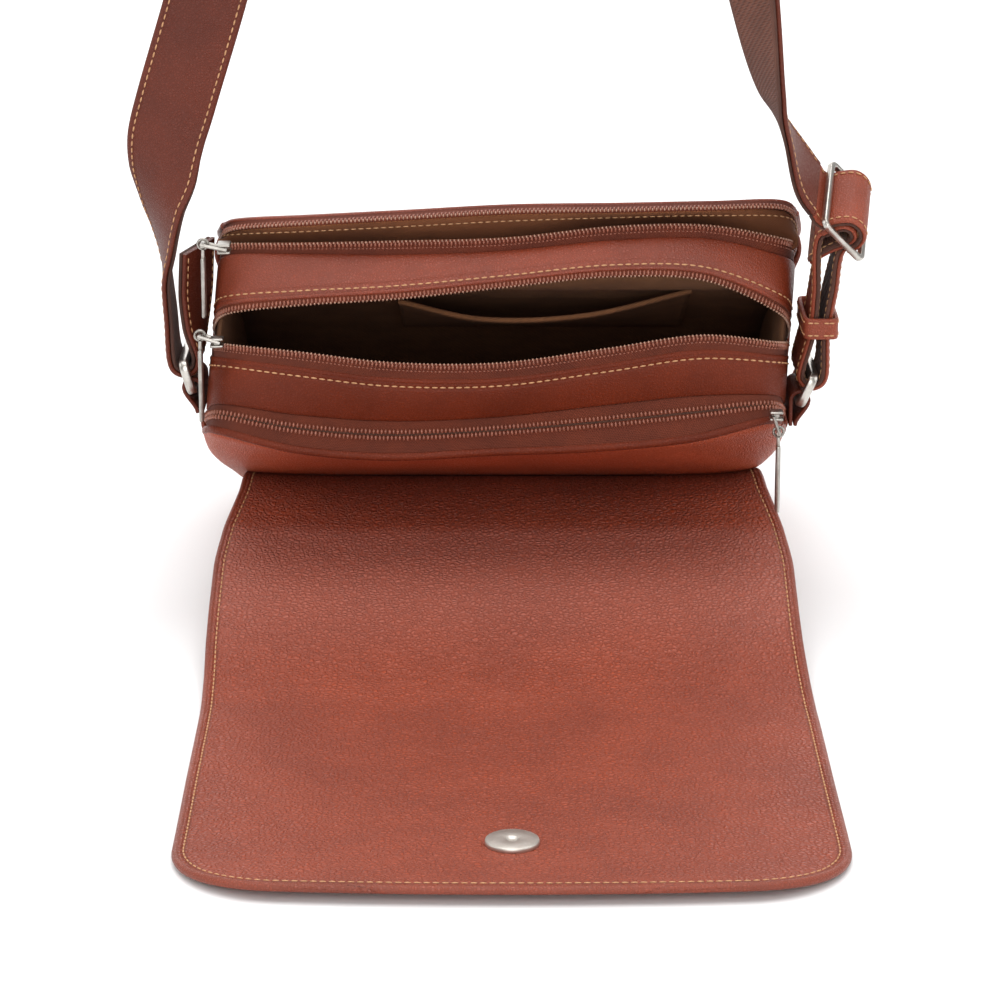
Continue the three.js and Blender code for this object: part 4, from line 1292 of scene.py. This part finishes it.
@dataclass
class Flap:
    """The flap, folded leather sewn round the edge, with its snap."""

    wardrobe: Wardrobe
    thick: float = 2.9
    corner: float = 36.0
    bow: float = 3.0
    bow_power: int = 12
    lift_power: int = 6
    lift: Pair = (2.2, 3.8)
    lift_at: float = 0.06
    lift_span: float = 0.08
    straight: float = 0.85
    steps: int = 420
    profile_steps: int = 400
    spans: tuple[int, int] = (90, 200)
    roll: float = 0.4
    roll_past: float = 0.1
    roll_sides: int = 12
    inset: float = 2.8
    stitch: float = 3.0
    stitch_lift: float = 0.05
    cut_width: float = 220.0
    cut_area: float = 0.076
    snap_at: Triple = (3.0, -212.0, 3.1)
    snap_radius: float = 9.0
    socket_at: Pair = (0.515, 5 / 7)
    socket_step: Pair = (0.02, 0.2 / 7)
    socket_lift: float = 1.2
    table: list[Pair] = field(default_factory=list)

    def __post_init__(self) -> None:
        """Measures the profile, so that places go by length."""
        walked, last = 0.0, self.profile(0.0)
        for i in range(self.profile_steps + 1):
            now = self.profile(i / self.profile_steps)
            walked += (now - last).length
            self.table.append((walked, i / self.profile_steps))
            last = now
        self.length = walked

    @staticmethod
    def profile(t: float) -> Vector:
        """Side profile as y and z."""
        return spline([Vector((y, z)) for y, z, _, _ in FLAP_ROWS], t)

    @staticmethod
    def widths(t: float) -> Vector:
        """Half width and centre of a cross row."""
        return spline([Vector((half, mid)) for _, _, half, mid in FLAP_ROWS], t)

    def param(self, distance: float) -> float:
        """Curve parameter at a distance from the seam."""
        low, high = 0, len(self.table) - 1
        while high - low > 1:
            middle = (low + high) // 2
            low, high = (middle, high) if self.table[middle][0] <= distance else (low, middle)
        a, b = self.table[low], self.table[high]
        return a[1] + (b[1] - a[1]) * clamp((distance - a[0]) / (b[0] - a[0]))

    def place(self, u: float, w: float) -> Vector:
        """Point of the flap's middle surface: across, and along by length."""
        distance = w * self.length
        t = self.param(distance)
        y, z = self.profile(t)
        half, mid = self.widths(t)
        turn = clamp(1.0 - (self.length - distance) / self.corner)
        half -= self.corner * (1.0 - math.sqrt(max(0.0, 1.0 - turn * turn)))
        side = 2.0 * u - 1.0
        bow = self.bow * (1.0 - side * side) * w ** self.bow_power
        lift = self.lift[0] if side < 0.0 else self.lift[1]
        lift *= side ** self.lift_power * math.exp(-((w - self.lift_at) / self.lift_span) ** 2)
        return Vector((mid + side * half, y - bow, z + lift))

    def rim(self, u: float, w: float) -> float:
        """Distance in mm from the free outline."""
        half = (self.place(1.0, w) - self.place(0.0, w)).length / 2.0
        return min((1.0 - abs(2.0 * u - 1.0)) * half, (1.0 - w) * self.length)

    def build(self) -> None:
        """Builds and dresses every piece."""
        model = Model("flap_leather")
        model.sheet(*self.spans, self.spread, rim=lambda u, w: self.rim(u, self.ends(w)))
        hide = model.finish(Dress(self.wardrobe.flap, Slot.LEATHER, replaces=("flap",), thick=self.thick))
        edge = Model("flap_edge")
        edge.tube([self.place(*self.seam(i / self.steps, self.roll)) for i in range(self.steps + 1)],
                  self.thick / 2.0 + self.roll_past, self.roll_sides)
        rolled = edge.finish(Dress(self.wardrobe.body, Slot.LEATHER))
        rows = Model("flap_stitches")
        rows.stitches(self.place, lambda t: self.seam(t, self.inset), self.stitch,
                      self.thick / 2.0 + self.stitch_lift, side=-1.0)
        sewn = rows.finish(Dress(self.wardrobe.thread, Slot.LEATHER))
        self.build_snap()

    def ends(self, w: float) -> float:
        """Packs the rows closer round the corners."""
        start = 1.0 - self.corner / self.length
        if w < self.straight:
            return start * w / self.straight
        return start + (1.0 - start) * math.sin(math.pi / 2.0 * (w - self.straight) / (1.0 - self.straight))

    def spread(self, u: float, w: float) -> Vector:
        """Point of the flap with its rows packed at the rounded end."""
        return self.place(u, self.ends(w))

    def seam(self, t: float, inset: float) -> Pair:
        """Place of a line that runs down the left side, round the end and up the right side.

        Args:
            t: Share of the line's length.
            inset: How far inside the edge it runs.

        Returns:
            Place across and along the flap.
        """
        reach = self.length - inset
        radius = self.corner - inset
        wide = self.cut_width - 2.0 * inset - 2.0 * radius
        parts = (reach - radius, radius * math.pi / 2.0, wide, radius * math.pi / 2.0, reach - radius)
        walk = clamp(t) * sum(parts)
        for k, part in enumerate(parts):
            if walk <= part or k == len(parts) - 1:
                break
            walk -= part
        share = clamp(walk / parts[k])
        turn = share * math.pi / 2.0
        if k == 0:
            left, along = 0.0, walk
        elif k == 1:
            left, along = radius * (1.0 - math.cos(turn)), reach - radius * (1.0 - math.sin(turn))
        elif k == 2:
            left, along = radius + walk, reach
        elif k == 3:
            left, along = radius + wide + radius * math.sin(turn), reach - radius * (1.0 - math.cos(turn))
        else:
            left, along = 2.0 * radius + wide, reach - radius - walk
        w = along / self.length
        half, _ = self.widths(self.param(along))
        across = (left / (2.0 * radius + wide) * 2.0 - 1.0) * (half - inset)
        true_half = (self.place(1.0, w) - self.place(0.0, w)).length / 2.0
        return 0.5 + across / (2.0 * true_half), w

    def build_snap(self) -> None:
        """Builds the snap disc with its rounded rim, flat face and central dimple."""
        r = self.snap_radius
        face = ((0.0, 0.0), (r - 0.2, 0.0), (r, 0.3), (r, 1.2), (r - 0.15, 1.6), (r - 0.5, 1.8), (2.6, 1.9),
                (2.1, 1.75), (1.8, 1.3), (1.0, 1.0), (0.6, 1.2), (0.0, 1.25))
        model = Model("snap_face")
        model.lathe(face, Matrix.Translation(Vector(self.snap_at)))
        model.finish(Dress(self.wardrobe.plate, Slot.NICKEL, replaces=("snap_disc",), crease=TURNED_CREASE))
        place = panel(Panel.FRONT)
        (u, w), (across, along) = self.socket_at, self.socket_step
        at, down, side = place(u, w), place(u, w + along), place(u + across, w)
        out = (side - at).cross(down - at).normalized()
        x = (side - at).normalized()
        socket = Model("snap_socket_face")
        socket.lathe(face, basis(x, out.cross(x), out, at + out * self.socket_lift, Vector((1.0, 1.0, 1.0))))
        socket.finish(Dress(self.wardrobe.plate, Slot.NICKEL, replaces=("snap_socket",),
                            crease=TURNED_CREASE))


# Strap centre line from the left ring over the crest to the slider: x, y, z and its width direction
STRAP_RUN = (
    (-115.8, 31.8, 147, 0.3, 0.95, 0), (-116.6, 32.2, 132, 0.3, 0.95, 0), (-116.8, 32.0, 118, 0.2, 0.98, 0),
    (-116.2, 32.0, 105.0, 0, 1, 0), (-117.5, 32.0, 101.9, 0, 1, 0), (-120.6, 32.0, 100.6, 0, 1, 0),
    (-123.7, 32.0, 101.9, 0, 1, 0), (-125.0, 32.0, 105.0, 0, 1, 0),
    (-126.0, 31.8, 120, -0.02, 1.0, 0), (-127.0, 31.2, 134, -0.05, 1.0, 0),
    (-127.2, 31.4, 143, -0.18, 0.98, 0), (-127.7, 30.8, 153, -0.36, 0.93, 0),
    (-128.2, 30.0, 164, -0.6, 0.8, 0), (-127.4, 29.0, 175, -0.86, 0.5, 0),
    (-126.0, 27.6, 188, -0.97, 0.24, 0), (-121.8, 27.0, 203, -1.0, 0.08, 0), (-109.6, 25.0, 242, -1, 0.05, 0),
    (-90.0, 21.0, 310, -1, 0, 0), (-46.0, 12.0, 460, -1, 0, 0), (2.0, 6.0, 620, -1, 0, 0),
    (17.0, 7.5, 682, -1, 0, 0), (20.0, 28.0, 701.6, -1, 0, 0), (23.0, 48.5, 682, -1, 0, 0),
    (32.0, 50.0, 620, -1, 0, 0), (57.0, 37.0, 460, -0.95, 0.3, 0), (81.0, 18.0, 310, -0.75, 0.66, 0),
    (91.6, 8.0, 244, -0.52, 0.85, 0.05), (98.8, 5.5, 209, -0.26, 0.94, 0.2),
    (104.0, 6.0, 196, -0.08, 0.93, 0.33))
# Ways in the slider's own plane: along the strap, out of the slider's face
RUN_END = ((-22, -2.0), (-15.4, -3.1))
LOOP_THREAD = ((-14.4, -3.3), (-11.0, -3.9), (-7.8, -2.8), (-6.4, 1.6), (-3.6, 6.2), (0.4, 7.2), (4.6, 5.4),
               (6.8, 1.2), (6.6, -6.0))
LOOP_BACK = ((-3.6, -8), (-3.6, 0), (-2.6, 2.6), (0, 3.7), (2.6, 2.6), (3.6, 0), (2.6, -8), (2.6, -18))
# Adjuster loop from the slider round the right ring and back
LOOP_WAY = (
    (124.6, 22.0, 138, 0.08, 0.92, 0.36), (122.2, 27.5, 120, 0.03, 0.98, 0.2), (121.8, 32.0, 99.6, 0, 1, 0),
    (120.5, 32.0, 96.5, 0, 1, 0), (117.4, 32.0, 95.2, 0, 1, 0), (114.3, 32.0, 96.5, 0, 1, 0),
    (113.0, 32.0, 99.6, 0, 1, 0), (116.8, 27.5, 120, 0.03, 0.98, 0.2), (118.2, 22.0, 138, 0.08, 0.92, 0.36))


# Faces of the strap's sections: inset from the edge and height of each point, then the middle's height
FACE_TOP = (((0.0, 0.9), (0.3, 1.5), (1.2, 1.85), (2.4, 1.6), (4.0, 1.8)), 1.9)
FACE_UNDER = (((0.3, 0.3), (1.5, 0.1)), 0.1)
WEB_TOP = (((0.0, -0.2),), -0.2)
WEB_UNDER = (((-0.2, -0.75), (0.0, -1.3), (2.0, -1.35)), -1.4)
LOOP_TOP = (((0.0, 0.5), (0.2, 1.0), (1.2, 1.5), (2.4, 1.25), (4.0, 1.4)), 1.45)
LOOP_UNDER = (((0.5, 0.05),), 0.05)
# Rings: name, side of the bag, x and z of the lower bar, x and z of the upper bar
RINGS = (
    ("left", -1.0, (-117.6, 94.5), (-120.6, 105.0)),
    ("right", 1.0, (112.9, 89.5), (117.4, 99.6)))
CORNER_STEPS = 6
WIRE_SIDES = 16
WIRE_POWER = 0.5


def section(half: float, *faces: tuple[Sequence[Pair], float]) -> list[Pair]:
    """Closed section of a strap, over its top from the left and under it from the right.

    Args:
        half: Half of its width.
        faces: Points of the top and of the underside.

    Returns:
        Offsets across and out of the strap.
    """
    found: list[Pair] = []
    for side, (edge, middle) in zip((-1.0, 1.0), faces):
        found += [(side * (half - inset), height) for inset, height in edge]
        found.append((0.0, middle))
        found += [(-side * (half - inset), height) for inset, height in reversed(edge)]
    return found


def squared(t: float, power: float, half: Pair) -> Pair:
    """Point on an oval with squared corners.

    Args:
        t: Share of the turn.
        power: How round it is, from 0 for square to 1 for an oval.
        half: Half of its width and height.

    Returns:
        The point.
    """
    c, s = math.cos(2.0 * math.pi * t), math.sin(2.0 * math.pi * t)
    return math.copysign(abs(c) ** power, c) * half[0], math.copysign(abs(s) ** power, s) * half[1]


@dataclass
class Strap:
    """Strap, adjuster loop, keeper, slider, rings and their tabs."""

    wardrobe: Wardrobe
    slider_at: Vector = field(default_factory=lambda: Vector((128.0, 15.0, 164.0)))
    across: Vector = field(default_factory=lambda: Vector((0.13, 0.87, 0.47)).normalized())
    along: Vector = field(default_factory=lambda: Vector((0.66, 0.28, -0.7)).normalized())
    half: float = 15.0
    web_inset: float = 0.8
    stitch: float = 3.0
    stitch_lift: float = 0.1
    sewn_span: Pair = (0.003, 0.997)
    strap_lifts: tuple[float, ...] = (1.75,)
    loop_lifts: tuple[float, ...] = (1.4, -1.4)
    sewn: float = 2.4
    per_row: int = 10
    keeper_at: Vector = field(default_factory=lambda: Vector((119.5, 27.5, 120.0)))
    keeper_height: float = 8.0
    keeper_half: Pair = (5.9, 17.8)
    keeper_power: float = 2.0 / 9.0
    keeper_stitch: float = 2.6
    keeper_lift: float = 0.85
    keeper_rows: Pair = (0.2, 0.8)
    keeper_spans: tuple[int, int] = (6, 96)
    keeper_thick: float = 1.6
    keeper_bevel: float = 0.5
    frame_half: Pair = (10.6, 17.7)
    frame_corner: float = 2.4
    frame_wire: float = 1.2
    ring_corner: float = 2.6
    tab_radius: float = 3.4
    tab_leg: float = 10.0
    tab_half: float = 13.0
    tab_close: float = 1.7
    tab_steps: int = 6
    tab_spans: tuple[int, int] = (10, 48)
    tab_thick: float = 1.4
    tab_bevel: float = 0.4
    ring_y: float = 32.0
    ring_half: float = 17.4
    wire: float = 1.7

    @property
    def out(self) -> Vector:
        """Way out of the slider's face."""
        return self.along.cross(self.across)

    def thread(self, rows: Sequence[Pair]) -> list[tuple[Vector, Vector]]:
        """Centres and width directions from rows in the slider's plane."""
        return [(self.slider_at + self.along * a + self.out * b, self.across) for a, b in rows]

    @staticmethod
    def way(rows: Sequence[tuple[float, ...]]) -> list[tuple[Vector, Vector]]:
        """Centres and width directions from rows in the working frame."""
        return [(Vector(row[:3]), Vector(row[3:])) for row in rows]

    def frames(self, rows: Sequence[tuple[Vector, Vector]]) -> list[Station]:
        """Fine frames along a ribbon.

        Args:
            rows: Centres and width directions.

        Returns:
            Centre, width direction and face direction at each step.
        """
        count = (len(rows) - 1) * self.per_row
        centres, wides = [r[0] for r in rows], [r[1] for r in rows]
        found = []
        for i in range(count + 1):
            t = i / count
            tangent = (spline(centres, t + FINE) - spline(centres, t - FINE)).normalized()
            wide = spline(wides, t)
            wide = (wide - tangent * wide.dot(tangent)).normalized()
            found.append((spline(centres, t), wide, tangent.cross(wide)))
        return found

    def build(self) -> None:
        """Builds and dresses every piece."""
        run = self.frames(self.way(STRAP_RUN) + self.thread(RUN_END))
        loop = self.frames(self.thread(LOOP_THREAD) + self.way(LOOP_WAY) + self.thread(LOOP_BACK))
        face = section(self.half, FACE_TOP, FACE_UNDER)
        back = section(self.half - self.web_inset, WEB_TOP, WEB_UNDER)
        outer = section(self.half, LOOP_TOP, LOOP_UNDER)
        inner = [(-a, -b) for a, b in outer]
        for name, path, profile, material, slot, nodes in (
                ("strap_face", run, face, self.wardrobe.strap, Slot.LEATHER, ("strap_leather",)),
                ("strap_back", run, back, self.wardrobe.webbing, Slot.WEBBING, ("strap_webbing",)),
                ("adjuster_face", loop, outer, self.wardrobe.loop, Slot.LEATHER, ("strap_loop",)),
                ("adjuster_back", loop, inner, self.wardrobe.webbing, Slot.WEBBING, ())):
            model = Model(name)
            model.sweep(path, profile)
            model.finish(Dress(material, slot, replaces=nodes, crease=STRAP_CREASE))
        self.sew("strap_stitches", run, self.strap_lifts)
        self.sew("loop_stitches", loop, self.loop_lifts)
        self.build_keeper()
        self.build_slider()
        for name, side, low, high in RINGS:
            self.build_ring(name, side, low, high)

    def sew(self, name: str, path: Sequence[Station], lifts: Sequence[float]) -> None:
        """Sews both edges of a ribbon.

        Args:
            name: Name of the piece.
            path: The ribbon's frames.
            lifts: Heights of the faces that show stitches.
        """
        model = Model(name)
        last = len(path) - 1
        reach = 0.5 * (self.half - self.sewn) / self.half
        for lift in lifts:
            def place(u: float, w: float, lift: float = lift) -> Vector:
                """Point of the ribbon's face."""
                i = min(int(w * last), last - 1)
                share = w * last - i
                at, wide, up = (a.lerp(b, share) for a, b in zip(path[i], path[i + 1]))
                return at + wide * ((2.0 * u - 1.0) * self.half) + up * lift
            for u in (0.5 - reach, 0.5 + reach):
                model.stitches(place, lambda t, u=u: (u, t), self.stitch, self.stitch_lift,
                               *self.sewn_span, -math.copysign(1.0, lift))
        model.finish(Dress(self.wardrobe.thread, Slot.LEATHER))

    def build_keeper(self) -> None:
        """Builds the leather keeper with two rows of stitches."""
        def place(u: float, w: float) -> Vector:
            """Point of the keeper, round its squared ring and across it."""
            x, y = squared(w, self.keeper_power, self.keeper_half)
            return self.keeper_at + Vector((x, y, (u - 0.5) * self.keeper_height))
        model = Model("keeper_band")
        verts = model.sheet(*self.keeper_spans, place)
        bmesh.ops.remove_doubles(model.bm, verts=verts, dist=FINE)
        model.finish(Dress(self.wardrobe.loop, Slot.LEATHER, replaces=("keeper",), thick=self.keeper_thick,
                           bevel=self.keeper_bevel))
        rows = Model("keeper_stitches")
        for u in self.keeper_rows:
            rows.stitches(place, lambda t, u=u: (u, t), self.keeper_stitch, self.keeper_lift, side=-1.0)
        rows.finish(Dress(self.wardrobe.thread, Slot.LEATHER))

    def build_slider(self) -> None:
        """Builds the strap slider: a rounded frame and its centre bar."""
        model = Model("slider_frame")
        self.rounded_frame(model, self.slider_at, self.along, self.across, self.out, self.frame_half,
                           self.frame_corner, self.frame_wire)
        reach = self.across * self.frame_half[1]
        model.tube([self.slider_at - reach, self.slider_at + reach], self.frame_wire, WIRE_SIDES)
        model.finish(Dress(self.wardrobe.nickel, Slot.NICKEL, replaces=("slide_buckle",),
                           crease=TURNED_CREASE))

    @staticmethod
    def rounded_frame(model: Model, at: Vector, x: Vector, y: Vector, z: Vector, half: Pair,
                      corner: float, wire: float) -> None:
        """Sweeps a wire of rounded square section round a rectangle.

        Args:
            model: Mesh that takes it.
            at: Its centre.
            x: First axis of the rectangle.
            y: Second axis.
            z: Axis out of its plane.
            half: Half lengths along x and y, to the wire's middle.
            corner: Radius of the corners.
            wire: Half of the wire's width.
        """
        frames = []
        for k, (sx, sy) in enumerate(((1, 1), (-1, 1), (-1, -1), (1, -1))):
            centre = at + x * (sx * (half[0] - corner)) + y * (sy * (half[1] - corner))
            for i in range(CORNER_STEPS + 1):
                turn = math.pi / 2.0 * (k + i / CORNER_STEPS)
                side = x * math.cos(turn) + y * math.sin(turn)
                frames.append((centre + side * corner, side, z))
        profile = [squared(i / WIRE_SIDES, WIRE_POWER, (wire, wire)) for i in range(WIRE_SIDES)]
        model.sweep(frames, profile, closed=True)

    def build_ring(self, name: str, side: float, low: Pair, high: Pair) -> None:
        """Builds a strap ring and the leather tab that holds it.

        Args:
            name: Which ring.
            side: Side of the bag, -1 or 1.
            low: x and z of the lower bar.
            high: x and z of the upper bar.
        """
        a, b = Vector((low[0], self.ring_y, low[1])), Vector((high[0], self.ring_y, high[1]))
        rise = (b - a).normalized()
        model = Model(f"ring_{name}_wire")
        wide = Vector((0.0, 1.0, 0.0))
        self.rounded_frame(model, (a + b) / 2.0, rise, wide, rise.cross(wide),
                           ((b - a).length / 2.0, self.ring_half), self.ring_corner, self.wire)
        model.finish(Dress(self.wardrobe.nickel, Slot.NICKEL, replaces=(f"ring_{name}",),
                           crease=TURNED_CREASE))
        radius, leg = self.tab_radius, self.tab_leg
        legs = self.tab_steps
        path = [Vector((-side * radius, 0.0, -leg + leg * i / legs)) for i in range(legs)]
        turns = [math.pi * i / (2 * legs) for i in range(2 * legs + 1)]
        path += [Vector((-side * math.cos(turn), 0.0, math.sin(turn))) * radius for turn in turns]
        close = 2.0 * radius - self.tab_close
        path += [Vector((side * (radius - close * ease(i / legs)), 0.0, -leg * i / legs))
                 for i in range(1, legs + 1)]

        def place(u: float, w: float) -> Vector:
            """Point of the tab."""
            k = min(int(w * (len(path) - 1)), len(path) - 2)
            point = path[k].lerp(path[k + 1], w * (len(path) - 1) - k)
            return a + point + Vector((0.0, (2.0 * u - 1.0) * self.tab_half, 0.0))
        tab = Model(f"ring_tab_{name}_leather")
        tab.sheet(*self.tab_spans, place)
        tab.finish(Dress(self.wardrobe.strap, Slot.LEATHER, replaces=(f"ring_tab_{name}",),
                         thick=self.tab_thick, bevel=self.tab_bevel))


@dataclass(frozen=True)
class ZipPull:
    """A zip slider and the pull that hangs from its pin."""

    name: str
    body: Triple
    deep: float
    pin: Triple
    length: float
    rides: Body
    cheek: float = 2.4
    toward: float = 1.2
    gap: float = 1.3
    wing: Triple = (5.0, 0.8, 1.1)
    wing_edge: float = 0.5
    core: Triple = (2.2, 0.5, 3.0)
    edge: float = 0.4
    arm: float = 0.7
    arm_past: float = 0.1
    arm_sides: int = 10
    pin_radius: float = 0.9
    pin_sides: int = 12
    pin_past: float = 0.6
    eye: float = 1.9
    eye_wire: float = 0.55
    eye_steps: int = 24
    neck: Triple = (1.3, 2.6, 3.6)
    plate_from: float = 5.0
    plate: Pair = (1.6, 6.0)
    plate_edge: float = 0.7

    def sized(self, shares: Triple) -> Triple:
        """Size of a block whose depth is a share of the slider's."""
        return shares[0], shares[1] * self.deep, shares[2]

    def build(self, wardrobe: Wardrobe) -> None:
        """Builds and dresses the slider and the pull.

        Args:
            wardrobe: The bag's materials.
        """
        body, pin = Vector(self.body), Vector(self.pin)
        slider = Model(f"slider_{self.name}_body")
        middle = body + Vector((math.copysign(self.toward, pin.x - body.x), 0.0, 0.0))
        for rise in (-self.gap, self.gap):
            wing = Matrix.Translation(middle + Vector((0.0, 0.0, rise)))
            slider.block(self.sized(self.wing), wing, self.wing_edge)
        slider.block(self.sized(self.core), Matrix.Translation(middle), self.edge)
        for side in (-1.0, 1.0):
            end = pin + Vector((0.0, side * self.cheek, 0.0))
            start = Vector((body.x, end.y, body.z))
            past = end + (end - start) * self.arm_past
            slider.tube([start, end, past], self.arm, self.arm_sides)
        reach = Vector((0.0, self.cheek + self.pin_past, 0.0))
        slider.tube([pin - reach, pin + reach], self.pin_radius, self.pin_sides)
        # The darker zip nickel is painted shade
        slider.finish(Dress(wardrobe.shaded_zipper, Slot.NICKEL, replaces=(f"slider_{self.name}",),
                            crease=ZIP_CREASE))
        pull = Model(f"pull_{self.name}_plate")
        turns = [2.0 * math.pi * i / self.eye_steps for i in range(self.eye_steps)]
        ring = [pin + Vector((math.cos(turn), 0.0, math.sin(turn))) * self.eye for turn in turns]
        pull.tube(ring, self.eye_wire, closed=True)
        pull.block(self.neck, Matrix.Translation(pin - Vector((0.0, 0.0, self.neck[2]))), self.edge)
        plate = self.length - self.plate_from
        centre = pin - Vector((0.0, 0.0, self.plate_from + plate / 2.0))
        pull.block((*self.plate, plate), Matrix.Translation(centre), self.plate_edge)
        pull.finish(Dress(wardrobe.shaded_zipper, Slot.NICKEL, self.rides, (f"pull_{self.name}",),
                          crease=ZIP_CREASE))


PULLS = (
    ZipPull("back", (101.3, -0.9, 89.5), 6.2, (103.5, -0.9, 83.0), 31.0, Body.BACK_PULL),
    ZipPull("main", (-105.5, 2.0, 117.0), 6.2, (-112.9, 2.0, 119.5), 33.0, Body.MAIN_PULL),
    ZipPull("front", (-103.0, 15.2, 150.0), 10.0, (-111.9, 12.4, 152.0), 28.0, Body.FRONT_PULL),
)


# Soft lights: name, place over the floor in metres, side and power in watts; all face one point
LIGHTS = (
    ("front", (0.0, -2.1, 1.0), 1.6, 26.0),
    ("back", (0.0, 2.6, 0.8), 3.2, 44.0),
    ("left", (-1.6, -0.2, 0.9), 1.0, 7.0),
    ("right", (1.6, -0.2, 0.9), 1.0, 7.0))
LIGHT_AIM = Vector((0.0, 0.0, 0.1))
SUN_WAY = Vector((0.0, 0.02, 1.0))
SUN_POWER = 2.3
SUN_SPREAD = math.radians(60.0)
WORLD_POWER = 0.4
FLOOR_TONE = 0.86
FLOOR_ROUGH = 0.9
FLOOR_DROP = 0.0006


@dataclass
class Studio:
    """Camera, floor and soft light, in working millimetres."""

    eye: Triple = (-1.0, -1350.0, 468.7)
    pitch: float = 17.0
    lens: float = 134.64
    sensor: float = 36.0
    far: float = 50.0
    floor_half: float = 6.0

    def build(self) -> None:
        """Sets the stage."""
        camera = bpy.data.cameras.new("camera")
        camera.lens = self.lens
        camera.sensor_width = self.sensor
        camera.clip_end = self.far
        seat = bpy.data.objects.new("camera", camera)
        seat.location = (Vector(self.eye) - CREST) * MM
        seat.rotation_euler = (math.radians(90.0 - self.pitch), 0.0, 0.0)
        bpy.context.scene.collection.objects.link(seat)
        bpy.context.scene.camera = seat
        self.floor()
        sun = bpy.data.lights.new("key", "SUN")
        sun.energy, sun.angle = SUN_POWER, SUN_SPREAD
        self.hang(sun, Vector(), SUN_WAY)
        for name, at, size, power in LIGHTS:
            lamp = bpy.data.lights.new(name, "AREA")
            lamp.size, lamp.energy = size, power
            self.hang(lamp, Vector(at) - CREST * MM, Vector(at) - LIGHT_AIM)
        world = bpy.data.worlds.new("studio")
        world.use_nodes = True
        world.node_tree.nodes["Background"].inputs[0].default_value = (1.0, 1.0, 1.0, 1.0)
        world.node_tree.nodes["Background"].inputs[1].default_value = WORLD_POWER
        bpy.context.scene.world = world
        bpy.context.scene.view_settings.view_transform = "Standard"

    def floor(self) -> None:
        """Lays the plain whitish floor."""
        bm = bmesh.new()
        under = Matrix.Translation(Vector((0.0, 0.0, -CREST.z * MM - FLOOR_DROP)))
        bmesh.ops.create_grid(bm, x_segments=1, y_segments=1, size=self.floor_half, matrix=under)
        mesh = bpy.data.meshes.new("floor")
        bm.to_mesh(mesh)
        bm.free()
        material = bpy.data.materials.new("floor_white")
        material.use_nodes = True
        shader = material.node_tree.nodes["Principled BSDF"]
        shader.inputs["Base Color"].default_value = paint((FLOOR_TONE,) * 3)
        shader.inputs["Roughness"].default_value = FLOOR_ROUGH
        mesh.materials.append(material)
        floor = bpy.data.objects.new("floor", mesh)
        bpy.context.scene.collection.objects.link(floor)
        floor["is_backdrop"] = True

    @staticmethod
    def hang(lamp: bpy.types.Light, at: Vector, toward: Vector) -> None:
        """Hangs a lamp at a place, with its back toward a direction."""
        holder = bpy.data.objects.new(lamp.name, lamp)
        holder.location = at
        holder.rotation_euler = toward.to_track_quat("Z", "Y").to_euler()
        bpy.context.scene.collection.objects.link(holder)


def write_sizes() -> None:
    boxes = {"cad": CAD_BOX, "visual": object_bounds()}
    {name: [list(low), list(high)] for name, (low, high) in boxes.items()}


def main() -> None:
    """Builds the stage and every piece of the bag."""
    Studio().build()
    wardrobe = Wardrobe()
    for assembly in (Shell(wardrobe), Mouth(wardrobe), Lining(wardrobe), Flap(wardrobe), Strap(wardrobe)):
        assembly.build()
        log.info("built %s", type(assembly).__name__)
    for pull in PULLS:
        pull.build(wardrobe)
    write_sizes()


if __name__ == "__main__":
    main()
